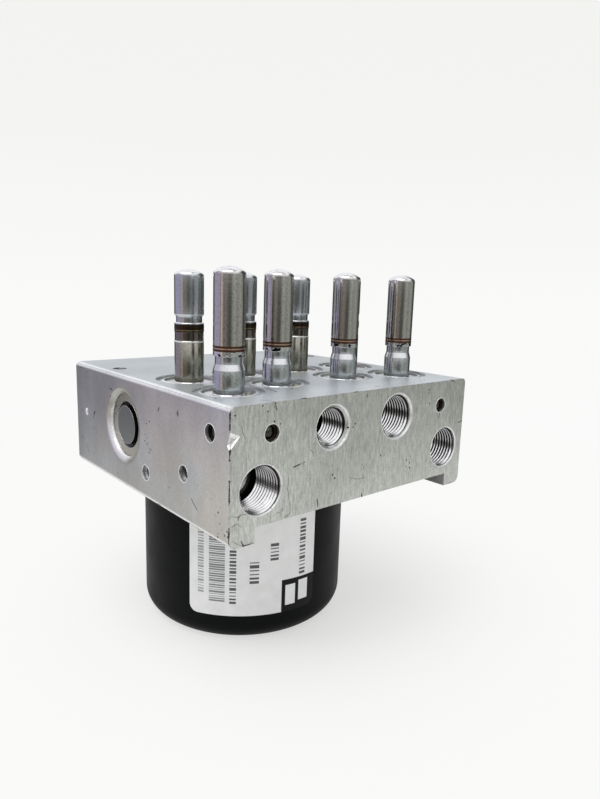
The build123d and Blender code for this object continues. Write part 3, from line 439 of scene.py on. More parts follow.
        # each face takes its colour by the way it looks, the valve face its paler one as painted light from
        # above
        base = s.mixed(above, s.mixed(front, side, self.port_face), s.scaled(self.valve_face, painted_front_highlight))
        base = s.mixed(rounded, base, self.polish_and_highlight)
        base = s.mixed(s.times(self.inside_bores(s), flat), base, self.bores(s))
        grain, broad = (
            s.rise(s.noise(cells, detail, 0.6, s.stretched(stretch, self.grain_lean)), *self.spread)
            for (cells, stretch), detail in ((self.fine_grain, 2), (self.broad_grain, 3))
        )
        dust = s.patches(self.dust, 3, 0.7)
        lined = s.times(front, s.minus(s.plus(grain, broad), 1.0), self.grain_contrast / 2)
        dusty = s.times(s.minus(dust, 0.5), self.dust_contrast)
        cloud = s.ramp(s.noise(self.cloud_cells, 3), *self.cloud)
        tone = s.times(cloud, s.plus(1.0, s.plus(lined, dusty)))
        mark = s.math("MAXIMUM", self.dents(s), self.edge_nicks(s))
        rough = s.plus(self.roughness, s.times(broad, front, self.brushed_roughness))
        brushed = s.bump(s.times(grain, front), self.grain_relief)
        return s.finish(
            Base_Color=s.mixed(mark, s.scaled(base, tone), self.nick),
            Metallic=s.minus(self.metallic, s.times(above, self.valve_face_paling)),
            Roughness=s.plus(rough, s.times(rounded, self.rounded_roughness)),
            Normal=s.bump(s.minus(1.0, mark), self.nick_relief, brushed),
        )

    def shares(self, s: Shading) -> tuple[Wire, Wire, Wire]:
        """Way in from the port face, drop as a share of the height, and way in as a share."""
        low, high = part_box("valve_block")
        _, y, z = s.split(s.place)
        inward = s.minus(y, low.y)
        drop = s.math("DIVIDE", s.minus(high.z, z), high.z - low.z)
        return inward, drop, s.math("DIVIDE", inward, high.y - low.y)

    def sides(self, s: Shading) -> Wire:
        """Colour of the smooth side faces, clouded, with painted shade darker to the rear and towards the
        foot.
        """
        _, drop, back = self.shares(s)
        # painted shade: the side faces darken towards the rear and towards the foot
        rear_shade, foot_shade = s.ramp(back, *self.rear_shade), s.ramp(drop, *self.foot_shade)
        warmth = s.rise(s.noise(self.warmth_cells, 2, warp=0.4), *self.warmth)
        smear = s.noise(self.smear_cells, 4, 0.55, s.stretched(self.smear_stretch, self.smear_lean))
        smear = s.ramp(smear, *zip(self.smear_noise, self.smear))
        stain = s.tinted(s.mixed(warmth, self.cool, self.warm), self.side_face)
        return s.scaled(stain, s.times(rear_shade, foot_shade, smear))

    def bores(self, s: Shading) -> Wire:
        """Colour inside the bores: dark above with fluid film and painted shade, bright below, and black
        painted shade in the relief behind the thread.
        """
        inward, drop, _ = self.shares(s)
        bore = s.mixed(s.rise(drop, *self.fluid_and_shade_line), self.bore_fluid_and_shade, self.bore_low)
        # painted shade: the relief behind the thread is near black
        relief_shade = s.times(s.over(inward, self.relief[0]), s.under(inward, self.relief[1]))
        return s.mixed(relief_shade, bore, self.nick)

    def dish_place(self, s: Shading) -> tuple[Wire, Wire]:
        """Angle round the pump plug from the rear, as 0 to 1, and the mask of the dish that staking left
        round it.
        """
        plug, side = centre_of("pump_plug_left"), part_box("valve_block")[1].x
        x, y, z = s.split(s.place)
        across, up = s.minus(y, plug.y), s.minus(z, plug.z)
        away = s.math("SQRT", s.plus(s.times(across, across), s.times(up, up)))
        sunk = s.under(s.size(x), side - self.dish_sink)
        turn = s.math("DIVIDE", s.math("ARCTAN2", up, across), 2 * math.pi)
        return s.plus(turn, 0.5), s.times(s.under(away, self.dish_reach), sunk)

    def around_dish(self, s: Shading, around: Wire, stops: Stops) -> Wire:
        """Grey round the plug, from stops of degrees and grey."""
        return s.ramp(around, *((0.5 + angle / 360, grey) for angle, grey in stops))

    def deeper_than(self, s: Shading, depth: float) -> Wire:
        """Mask of what lies further than a depth from all six faces."""
        deep = []
        for along, low, high in zip(s.split(s.place), *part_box("valve_block")):
            deep += [s.over(along, low + depth), s.under(along, high - depth)]
        return s.times(*deep)

    def inside_bores(self, s: Shading) -> Wire:
        """Mask of what lies deeper than the shallow recesses, which is dark with fluid film and painted
        shade.
        """
        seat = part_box("motor_can")[1].z + self.seat_gap
        return s.times(self.deeper_than(s, self.bore_depth), s.over(s.split(s.place)[2], seat))

    def dents(self, s: Shading) -> Wire:
        """Mask of sparse pits and short curved scratches, denser near the lower left corner."""
        shares = (
            s.math("DIVIDE", s.minus(along, low), reach)
            for along, low, reach in zip(s.split(s.place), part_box("valve_block")[0], self.worn_corner)
        )
        near = s.ramp(s.plus(*shares), *self.nearness)
        pits = s.fall(s.cells(self.pit_cells), *self.pit_rim)
        pitted = s.patches(self.pitted, 2, 0.5, near)
        curves = s.fall(s.size(s.minus(s.noise(self.scratch_cells, 1), 0.5)), *self.scratch_rim)
        scratched = s.patches(self.scratched, 2, 0.5, near)
        return s.math("MAXIMUM", s.times(pits, pitted), s.times(curves, scratched))

    def edge_nicks(self, s: Shading) -> Wire:
        """Mask of the dark nicks along the edges of the port face."""
        low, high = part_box("valve_block")
        x, y, z = s.split(s.place)
        ragged = s.times(s.patches(self.ragged, 3, 0.7), self.edge_reach)
        left, port_side, foot = (s.under(along, s.plus(edge, ragged)) for along, edge in zip((x, y, z), low))
        head = s.over(z, s.minus(high.z, s.times(ragged, self.head_share)))
        broken, rare = s.patches(self.broken, 4, 0.65), s.patches(self.rare, 4, 0.65)
        corner = s.times(s.math("MAXIMUM", left, foot), broken)
        return s.times(port_side, s.math("MAXIMUM", corner, s.times(head, rare)))


@dataclass(frozen=True)
class TurnedSteel:
    """Turned or drawn bare steel with faint rings and speckle, and a painted highlight where it faces up."""

    name: str
    colour: Colour = (0.55, 0.54, 0.54)
    roughness: float = 0.24
    speckle: float = 0.25
    metallic: float = 1.0
    # painted highlight colour where the steel faces up
    crown: Colour = (0.92, 0.92, 0.94)
    speckle_dark: float = 0.45
    relief: float = 0.000005

    def material(self) -> bpy.types.Material:
        """Build the material."""
        s = Shading(self.name)
        rings = s.noise(1500, 2, 0.5, s.stretched((0.02, 0.02, 1.0)))
        dust = s.fall(s.noise(2200, 2, 0.6), 0.36, 0.5)
        dark = tuple(c * self.speckle_dark for c in self.colour)
        # painted highlight on faces that look up
        facing_up_highlight = s.rise(s.normal_parts()[2], 0.2, 0.5)
        bare = s.mixed(facing_up_highlight, self.colour, self.crown)
        return s.finish(
            Base_Color=s.mixed(s.times(dust, self.speckle), bare, dark), Metallic=self.metallic,
            Roughness=s.plus(self.roughness, s.times(s.noise(140, 3), 0.07)),
            Normal=s.bump(rings, self.relief),
        )


@dataclass(frozen=True)
class HeatTint:
    """Weld seam coloured by heat."""

    name: str
    colour: Colour = (0.12, 0.055, 0.03)
    second: Colour = (0.28, 0.15, 0.07)
    metallic: float = 0.9
    roughness: float = 0.24
    relief: float = 0.00003

    def material(self) -> bpy.types.Material:
        """Build the material."""
        s = Shading(self.name)
        base = s.mixed(s.noise(900, 3), self.colour, self.second)
        normal = s.bump(s.noise(2500, 2), self.relief)
        return s.finish(Base_Color=base, Metallic=self.metallic, Roughness=self.roughness, Normal=normal)


@dataclass(frozen=True)
class ThreadAlloy:
    """Cut threads: bright crests and painted shade in the roots; towards the top the painted shade reaches
    higher and dims the crests, standing partly for fluid film there.
    """

    # bright: the crests' colour; dark: painted shade in the roots
    bright: Colour = (0.90, 0.90, 0.92)
    dark: Colour = (0.02, 0.016, 0.014)
    # by height in the bore: how far the painted root shade climbs the flanks, and how much painted shade dims
    # the crests; both grow towards the top
    crest_limit: Stops = ((0.0, 0.10), (0.28, 0.20), (0.50, 0.58), (1.0, 0.70))
    gleam: Stops = ((0.0, 1.0), (0.30, 1.0), (0.55, 0.52), (1.0, 0.40))
    roughness: float = 0.17
    relief: float = 0.00001

    def material(self) -> bpy.types.Material:
        """Build the material from the thread's own attributes crest and level."""
        s = Shading("thread_alloy")
        crest, level = (
            s.node("ShaderNodeAttribute", attribute_name=name).outputs["Fac"] for name in ("crest", "level")
        )
        height = s.plus(0.5, s.times(level, 0.5))
        # painted shade in the roots, reaching higher and dimming the crests towards the top
        clear = s.minus(crest, s.ramp(height, *self.crest_limit))
        share = s.rise(s.plus(0.5, clear), 0.42, 0.60)
        base = s.mixed(share, self.dark, s.scaled(self.bright, s.ramp(height, *self.gleam)))
        normal = s.bump(s.noise(1500, 2), self.relief)
        return s.finish(Base_Color=base, Metallic=1.0, Roughness=self.roughness, Normal=normal)


@dataclass(frozen=True)
class PlugAlloy:
    """Turned plug: grey boss, and painted shade, near black, below its shoulder."""

    boss: Colour = (0.178, 0.188, 0.172)
    # painted shade below the boss's shoulder
    deep: Colour = (0.02, 0.021, 0.025)
    shoulder: float = 1.3 * MM
    relief: float = 0.00001

    def material(self) -> bpy.types.Material:
        """Build the material."""
        s = Shading("plug_alloy")
        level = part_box("valve_block")[1].x - self.shoulder
        # painted shade: below the shoulder the plug is near black
        base = s.mixed(s.over(s.size(s.split(s.place)[0]), level), self.deep, self.boss)
        cloud = s.noise(300, 3)
        rough = s.plus(0.3, s.times(cloud, 0.1))
        return s.finish(Base_Color=base, Metallic=0.9, Roughness=rough, Normal=s.bump(cloud, self.relief))


@dataclass(frozen=True)
class NickedRim:
    """Bright collar with dark nicks left by crimping."""

    colour: Colour = (0.66, 0.66, 0.68)
    nick: Colour = (0.02, 0.02, 0.02)
    relief: float = -0.00005

    def material(self) -> bpy.types.Material:
        """Build the material."""
        s = Shading("nicked_rim")
        spots = s.rise(s.noise(620, 2, 0.5, s.stretched((1, 1, 1.6))), 0.52, 0.56)
        base = s.mixed(spots, self.colour, self.nick)
        return s.finish(Base_Color=base, Metallic=0.95, Roughness=0.16, Normal=s.bump(spots, self.relief))


@dataclass(frozen=True)
class BlackLacquer:
    """Satin black lacquer on drawn steel, with dust and small dents."""

    colour: Colour = (0.004, 0.0044, 0.0046)
    dust: Colour = (0.03, 0.037, 0.035)
    dust_share: float = 0.06
    dusty: Triple = (520, 0.45, 0.8)
    roughness: float = 0.36
    unevenness: float = 0.2
    relief: float = 0.00004

    def material(self) -> bpy.types.Material:
        """Build the material."""
        s = Shading("black_lacquer")
        dust = s.patches(self.dusty, 5, 0.65)
        return s.finish(
            Base_Color=s.mixed(s.times(dust, self.dust_share), self.colour, self.dust),
            Roughness=s.plus(self.roughness, s.times(s.noise(120, 4), self.unevenness)),
            Normal=s.bump(s.noise(700, 3), self.relief), Specular_IOR_Level=0.06,
        )


@dataclass(frozen=True)
class PlainFinish:
    """Even surface with a little cloud in its colour and gloss."""

    name: str
    colour: Colour
    roughness: float = 0.5
    metallic: float = 0.0
    grain: float = 600.0
    depth: float = 0.00002
    specular: float = 0.5
    cloud_dark: float = 0.8

    def material(self) -> bpy.types.Material:
        """Build the material."""
        s = Shading(self.name)
        cloud = s.noise(self.grain, 4)
        return s.finish(
            Base_Color=s.mixed(cloud, self.colour, tuple(c * self.cloud_dark for c in self.colour)),
            Roughness=s.plus(self.roughness - 0.05, s.times(cloud, 0.1)), Metallic=self.metallic,
            Normal=s.bump(s.noise(2 * self.grain, 3), self.depth), Specular_IOR_Level=self.specular,
        )


# ---------------------------------------------------------------- geometry node trees


class Tree(Nodes):
    """Geometry node tree with named inputs, applied to make one plain mesh."""

    def __init__(self, name: str, lengths: Sequence[str], counts: Sequence[str] = ()) -> None:
        """Start a tree that takes a shape, its sizes and a finish.

        Args:
            name: Name of the tree.
            lengths: Names of the inputs that are lengths or shares.
            counts: Names of the inputs that are whole numbers.
        """
        super().__init__(bpy.data.node_groups.new(name, "GeometryNodeTree"))
        kinds = {"Shape": Socket.SHAPE, **dict.fromkeys(lengths, Socket.LENGTH)}
        kinds |= {**dict.fromkeys(counts, Socket.COUNT), "Finish": Socket.MATERIAL}
        for label, kind in kinds.items():
            self.tree.interface.new_socket(label, in_out="INPUT", socket_type=kind.value)
        self.tree.interface.new_socket("Shape", in_out="OUTPUT", socket_type=Socket.SHAPE.value)
        self.given = self.node("NodeGroupInput").outputs
        self.end = self.node("NodeGroupOutput")

    def close(self, shape: Wire, smooth: bool = True) -> "Tree":
        """End the tree in Realize Instances and Set Material.

        Args:
            shape: Geometry to end with.
            smooth: Shade it smooth.

        Returns:
            The finished tree.
        """
        realized = self.node("GeometryNodeRealizeInstances", shape)
        shaded = self.node("GeometryNodeSetShadeSmooth", realized.outputs[0], Shade_Smooth=smooth)
        finish = self.given["Finish"]
        dressed = self.node("GeometryNodeSetMaterial", shaded.outputs[0], Material=finish)
        self.feed(self.end.inputs[0], dressed.outputs[0])
        return self

    def make(self, name: str, start: bpy.types.Mesh | None = None, **values: object) -> bpy.types.Object:
        """Run the tree and keep its result as a plain mesh.

        Args:
            name: Name of the new object.
            start: Mesh that the tree works on.
            values: Inputs by name.

        Returns:
            The object, with no modifier left on it.
        """
        carrier = bpy.data.objects.new(name + "_carrier", start or bpy.data.meshes.new(name))
        bpy.context.scene.collection.objects.link(carrier)
        modifier = carrier.modifiers.new("tree", "NODES")
        modifier.node_group = self.tree
        for item in self.tree.interface.items_tree:
            if item.in_out == "INPUT" and item.name in values:
                modifier[item.identifier] = values[item.name]
        bpy.context.view_layer.update()
        seen = carrier.evaluated_get(bpy.context.evaluated_depsgraph_get())
        mesh = bpy.data.meshes.new_from_object(seen)
        carrier.modifiers.clear()
        bpy.data.objects.remove(carrier)
        mesh.name = name
        made = bpy.data.objects.new(name, mesh)
        bpy.context.scene.collection.objects.link(made)
        return made


def marked(t: Tree, shape: Wire, name: str, axis: int, reach: Wire) -> Wire:
    """Store where each point lies along an axis, as a share of a reach.

    Args:
        t: The tree.
        shape: Geometry to mark.
        name: Name of the new attribute.
        axis: Number of the axis.
        reach: Length that counts as 1.

    Returns:
        The marked geometry's socket.
    """
    place = t.split(t.node("GeometryNodeInputPosition").outputs[0])[axis]
    share = t.math("DIVIDE", place, reach)
    return t.node("GeometryNodeStoreNamedAttribute", shape, Name=name, Value=share).outputs[0]


def thread_tree() -> Tree:
    """Helical thread ridge inside a hole whose axis is Z.

    Returns:
        The tree, with the inputs Radius, Pitch, Turns, Depth and Finish.
    """
    sizes = ("Radius", "Pitch", "Turns", "Depth")
    t = Tree("thread_ridge", sizes)
    radius, pitch, turns, depth = (t.given[size] for size in sizes)
    helix = t.node(
        "GeometryNodeCurveSpiral", Resolution=64, Rotations=turns, Height=t.times(pitch, turns),
        Start_Radius=radius, End_Radius=radius,
    )
    upright = t.node("GeometryNodeSetCurveNormal", helix.outputs[0], mode="Z_UP")
    root, crest = t.times(pitch, 0.5), t.times(pitch, 0.08)
    section = t.node("GeometryNodeCurvePrimitiveQuadrilateral", mode="POINTS")
    corners = ((0.0, root, -1), (1.0, crest, -1), (1.0, crest, 1), (0.0, root, 1))
    for number, (across, half, along) in enumerate(corners, start=1):
        corner = t.node("ShaderNodeCombineXYZ", t.times(depth, across), t.times(half, along))
        t.feed(section.inputs[f"Point {number}"], corner.outputs[0])
    profile = marked(t, section.outputs[0], "crest", 0, depth)
    ridge = t.node("GeometryNodeCurveToMesh", Curve=upright.outputs[0], Profile_Curve=profile)
    return t.close(marked(t, ridge.outputs[0], "level", 1, radius), smooth=False)


def roughened(t: Tree, curves: Wire) -> Wire:
    """Sweep curves to thin wires and shake them: the tree needs the inputs Thickness and Unevenness.

    Args:
        t: The tree.
        curves: Curves to sweep.

    Returns:
        The mesh socket.
    """
    wire = t.node("GeometryNodeCurvePrimitiveCircle", Resolution=6, Radius=t.given["Thickness"])
    tubes = t.node("GeometryNodeCurveToMesh", Curve=curves, Profile_Curve=wire.outputs[0])
    ripple = t.node("ShaderNodeTexNoise", Scale=900.0).outputs["Color"]
    shift = t.node("ShaderNodeVectorMath", ripple, (0.5, 0.5, 0.5), operation="SUBTRACT")
    reach = t.given["Unevenness"]
    sized = t.node("ShaderNodeVectorMath", shift.outputs[0], operation="SCALE", Scale=reach)
    return t.node("GeometryNodeSetPosition", tubes.outputs[0], Offset=sized.outputs[0]).outputs[0]


def seam_tree() -> Tree:
    """Uneven thin line along every edge of the start mesh.

    Returns:
        The tree, with the inputs Step, Thickness, Unevenness and Finish.
    """
    t = Tree("uneven_seams", ("Step", "Thickness", "Unevenness"))
    edges = t.node("GeometryNodeMeshToCurve", t.given["Shape"])
    steps = t.node(
        "GeometryNodeResampleCurve", mode="LENGTH", Curve=edges.outputs[0], Length=t.given["Step"]
    )
    return t.close(roughened(t, steps.outputs[0]))


def burr_tree() -> Tree:
    """Uneven bright burr round each mouth: one vertex of the start mesh is one mouth.

    Returns:
        The tree, with the inputs Thickness, Unevenness and Finish. The start mesh has the
        vertex attributes reach (radius of the mouth) and look (direction that it faces).
    """
    t = Tree("burr_rings", ("Thickness", "Unevenness"))
    circle = t.node("GeometryNodeCurvePrimitiveCircle", Resolution=72, Radius=1.0)
    reach = t.node("GeometryNodeInputNamedAttribute", Name="reach")
    look = t.node("GeometryNodeInputNamedAttribute", data_type="FLOAT_VECTOR", Name="look")
    turn = t.node("FunctionNodeAlignRotationToVector", Vector=look.outputs[0])
    rings = t.node(
        "GeometryNodeInstanceOnPoints", t.given["Shape"], Instance=circle.outputs[0],
        Rotation=turn.outputs[0], Scale=reach.outputs[0],
    )
    loops = t.node("GeometryNodeRealizeInstances", rings.outputs[0])
    return t.close(roughened(t, loops.outputs[0]))


def bar_tree(thin: float = 0.22, thick: float = 0.86, seed: int = 7) -> Tree:
    """Row of bars of uneven height, each a quad across X, stacked along Y.

    Args:
        thin: Least height as a share of a bar's room.
        thick: Greatest height as a share of a bar's room.
        seed: Seed of the heights.

    Returns:
        The tree, with the inputs Width, Length, Bars and Finish.
    """
    t = Tree("bar_row", ("Width", "Length"), ("Bars",))
    step = t.math("DIVIDE", t.given["Length"], t.given["Bars"])
    offset = t.node("ShaderNodeCombineXYZ", Y=step)
    line = t.node("GeometryNodeMeshLine", Count=t.given["Bars"], Offset=offset.outputs[0])
    quad = t.node("GeometryNodeMeshGrid", t.given["Width"], 1.0, Vertices_X=13, Vertices_Y=2)
    height = t.node("FunctionNodeRandomValue", Min=thin, Max=thick, Seed=seed).outputs["Value"]
    scale = t.node("ShaderNodeCombineXYZ", 1.0, t.times(height, step), 1.0)
    bars = t.node(
        "GeometryNodeInstanceOnPoints", line.outputs[0], Instance=quad.outputs[0],
        Scale=scale.outputs[0],
    )
    return t.close(bars.outputs[0], smooth=False)


# ---------------------------------------------------------------- meshes


def centre_of(node: str) -> Vector:
    """Middle of a node's box."""
    low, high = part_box(node)
    return (low + high) / 2


def new_piece(name: str, mesh: bpy.types.Mesh, material: bpy.types.Material) -> bpy.types.Object:
    """Link a mesh as an object with one material.

    Args:
        name: Name of the object.
        mesh: Its mesh, in place.
        material: Its material.

    Returns:
        The object.
    """
    piece = bpy.data.objects.new(name, mesh)
    bpy.context.scene.collection.objects.link(piece)
    mesh.materials.clear()
    mesh.materials.append(material)
    return piece


def ridden(piece: bpy.types.Object, replaced: Sequence[str] = ()) -> bpy.types.Object:
    """Put a finished piece on the unit's fixed body.

    Args:
        piece: The object.
        replaced: Nodes that it stands for.

    Returns:
        The object.
    """
    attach(piece, UNIT)
    if replaced:
        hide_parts(*replaced)
    return piece


def written(name: str, bm: bmesh.types.BMesh) -> bpy.types.Mesh:
    """Write an edited mesh to a new one of this name, and free it."""
    mesh = bpy.data.meshes.new(name)
    bm.to_mesh(mesh)
    bm.free()
    return mesh


def skinned(name: str, rings: Sequence[Sequence[Vector]], sharp: float) -> bpy.types.Mesh:
    """Closed skin over rings of points, each joined to the next and the last to the first.

    Args:
        name: Name of the mesh.
        rings: Points of each ring, all of one number, or a single point on the axis.
        sharp: Bends over this angle in degrees stay sharp.

    Returns:
        The mesh, smooth between its sharp edges, with outward faces.
    """
    bm = bmesh.new()
    rows = [[bm.verts.new(point) for point in ring] for ring in rings]
    steps = max(len(row) for row in rows)
    for low, high in zip(rows, rows[1:] + rows[:1]):
        if len(low) == len(high) == 1:
            continue
        for i in range(steps):
            j = (i + 1) % steps
            around = [low[i % len(low)], low[j % len(low)], high[j % len(high)], high[i % len(high)]]
            bm.faces.new(list(dict.fromkeys(around)))
    bmesh.ops.recalc_face_normals(bm, faces=bm.faces)
    for face in bm.faces:
        face.smooth = True
    for edge in bm.edges:
        edge.smooth = edge.calc_face_angle(0.0) < math.radians(sharp)
    return written(name, bm)


def ring_at(radius: float, height: float, steps: int) -> list[Vector]:
    """Ring of points about Z; a radius of 0 gives a single point."""
    turn = [2 * math.pi * i / steps for i in range(steps if radius else 1)]
    return [Vector((radius * math.cos(a), radius * math.sin(a), height)) for a in turn]


def lathe(name: str, outline: Sequence[Corner], steps: int = 96, sharp: float = 30.0) -> bpy.types.Mesh:
    """Solid of revolution about Z.

    Args:
        name: Name of the mesh.
        outline: Radius and height of each corner; the last joins the first unless both lie on the axis.
        steps: Facets round the axis.
        sharp: Bends over this angle in degrees stay sharp.

    Returns:
        The mesh.
    """
    return skinned(name, [ring_at(radius, height, steps) for radius, height in outline], sharp)


def arc(centre: Corner, radius: float, first: float, steps: int = 8) -> list[Corner]:
    """Corners of a quarter circle.

    Args:
        centre: Centre of the circle.
        radius: Its radius.
        first: Direction of the first corner in degrees; the turn is to the left.
        steps: Sides along the quarter.

    Returns:
        The corners.
    """
    turn = [math.radians(first + 90 * i / steps) for i in range(steps + 1)]
    return [(centre[0] + radius * math.cos(a), centre[1] + radius * math.sin(a)) for a in turn]


def crown(radius: float, wall_top: float, height: float, knuckle: float, steps: int = 8) -> list[Corner]:
    """Corners of a domed tube end: a knuckle bend that runs into a shallow crown.

    Args:
        radius: Radius of the tube.
        wall_top: Height where the wall ends.
        height: Height of the dome.
        knuckle: Radius of the bend.
        steps: Corners on each arc.

    Returns:
        Radius and height pairs from the wall to the axis.
    """
    bend = (radius**2 - 2 * radius * knuckle + height**2) / (2 * (height - knuckle))
    centre = wall_top + height - bend
    meeting = math.atan2(wall_top - centre, radius - knuckle)
    corners = []
    for i in range(steps + 1):
        a = meeting * i / steps
        corners.append((radius - knuckle + knuckle * math.cos(a), wall_top + knuckle * math.sin(a)))
    for i in range(1, steps):
        a = meeting + (math.pi / 2 - meeting) * i / steps
        corners.append((bend * math.cos(a), centre + bend * math.sin(a)))
    return corners + [(0.0, wall_top + height)]


def eased(outline: Sequence[Corner], reach: float = 0.12 * MM, least: float = 0.3) -> list[Corner]:
    """Cut each inner corner of an outline by two points, so that edges catch the light.

    Args:
        outline: Radius and height pairs.
        reach: Length cut from each side of a corner.
        least: Bends under this angle in radians stay.

    Returns:
        The new outline.
    """
    points = [Vector(p) for p in outline]
    out = [tuple(points[0])]
    for before, here, after in zip(points, points[1:], points[2:]):
        into, onward = here - before, after - here
        if min(into.length, onward.length) < 1e-9 or into.angle(onward) < least or here.x < 1e-6:
            out.append(tuple(here))
            continue
        cut = min(reach, into.length / 3, onward.length / 3)
        out += [tuple(here - into.normalized() * cut), tuple(here + onward.normalized() * cut)]
    return out + [tuple(points[-1])]


def joined(name: str, meshes: Sequence[bpy.types.Mesh]) -> bpy.types.Mesh:
    """One mesh of this name from several, which are removed."""
    bm = bmesh.new()
    for mesh in meshes:
        bm.from_mesh(mesh)
        bpy.data.meshes.remove(mesh)
    return written(name, bm)


# ---------------------------------------------------------------- sub-assemblies


@dataclass
class Finishes:
    """Every material of the unit, by the record's slot or by its use."""

    made: dict[str, bpy.types.Material] = field(default_factory=dict)

    def build(self) -> "Finishes":
        """Build all the materials."""
        steels = {
            "valve_steel": ((0.56, 0.55, 0.53), 0.10, 0.42),
            "valve_base": ((0.54, 0.57, 0.59), 0.12, 0.45),
            "pole_steel": ((0.53, 0.56, 0.585), 0.19, 0.3),
            "outlet_base": ((0.38, 0.375, 0.32), 0.12, 0.4),
            # painted highlight on the skin over the inlet valves' cone
            "cone_steel": ((0.74, 0.75, 0.78), 0.18, 0.15),
            # painted shade on the skin in the outlet valves' recessed band
            "scorched_steel": ((0.22, 0.20, 0.18), 0.12, 0.4),
            "ball_steel": ((0.06, 0.06, 0.055), 0.22, 0.2, 1.0, (0.10, 0.10, 0.09)),
            "armature_steel": ((0.58, 0.58, 0.58),),
            "spring_steel": ((0.62, 0.62, 0.62), 0.2, 0.1),
            "hard_steel": ((0.66, 0.66, 0.66), 0.18, 0.05),
            "cap_steel": ((0.52, 0.52, 0.52), 0.34, 0.2),
            "laminations": ((0.42, 0.42, 0.43), 0.35, 0.2),
            "screw_steel": ((0.5, 0.5, 0.48), 0.3, 0.2),
        }
        welds = {
            "weld_brown": ((0.045, 0.024, 0.016), (0.11, 0.052, 0.032)),
            "weld_black": ((0.022, 0.016, 0.011), (0.06, 0.038, 0.024)),
            "weld_gold": ((0.20, 0.12, 0.07), (0.55, 0.36, 0.22)),
            "weld_olive": ((0.10, 0.08, 0.04), (0.36, 0.29, 0.16)),
        }
        plain = {
            # near white for burrs round the mouths and thin lines along edges and bevels: painted highlight
            "bare_rim": ((0.93, 0.93, 0.92), 0.35, 0.35, 1500.0),
            "scratch_dark": ((0.035, 0.032, 0.03), 0.5, 0.4, 1200.0),
            "label_film": ((0.965, 0.975, 0.965), 0.42, 0.0, 300.0, 0.00003),
            "label_ink": ((0.008, 0.008, 0.009), 0.4, 0.0, 400.0, 0.00002, 0.12),
            "label_grey": ((0.24, 0.25, 0.26), 0.45, 0.0, 900.0),
            "label_pale_grey": ((0.42, 0.44, 0.46), 0.45, 0.0, 900.0),
            "label_dark_grey": ((0.10, 0.10, 0.11), 0.45, 0.0, 900.0),
            "piston_alloy": ((0.56, 0.56, 0.58), 0.35, 1.0),
            "ferrite": ((0.09, 0.09, 0.095), 0.55),
            "copper": ((0.72, 0.38, 0.20), 0.3, 1.0),
            "lacquered_wire": ((0.42, 0.16, 0.06), 0.3, 0.6, 1600.0, 0.0001),
            "sintered_bronze": ((0.55, 0.38, 0.2), 0.5, 0.9, 2000.0),
            "carbon": ((0.05, 0.05, 0.05), 0.6),
            "moulding": ((0.03, 0.03, 0.03), 0.45),
        }
        recipes: dict[str, object] = {
            "block_alloy": MilledAlloy(), "nicked_rim": NickedRim(), "thread_alloy": ThreadAlloy(),
            "plug_alloy": PlugAlloy(), "can_paint": BlackLacquer(),
        }
        for kind, rows in ((TurnedSteel, steels), (HeatTint, welds), (PlainFinish, plain)):
            recipes |= {name: kind(name, *row) for name, row in rows.items()}
        self.made = {name: recipe.material() for name, recipe in recipes.items()}
        return self

    def dress_nodes(self) -> None:
        """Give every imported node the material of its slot."""
        slots = {row["node"]: row["material_slot"] for row in frame["record"]["subparts"]}
        for name, node in frame["nodes"].items():
            if not node.material_slots:
                node.data.materials.append(self.made[slots[name]])
            for place in node.material_slots:
                place.material = self.made[slots[name]]

    def __getitem__(self, name: str) -> bpy.types.Material:
        """Material by name."""
        return self.made[name]


@dataclass(frozen=True)
class Port:
    """One threaded pipe port; the drop is measured from the valve face."""

    x: float
    drop: float
    radius: float
    chamfer: float
    face: Facing = Facing.FRONT


@dataclass(frozen=True)
class Ring:
    """One burr or turned edge that runs round a mouth."""

    place: Vector
    radius: float
    face: Facing


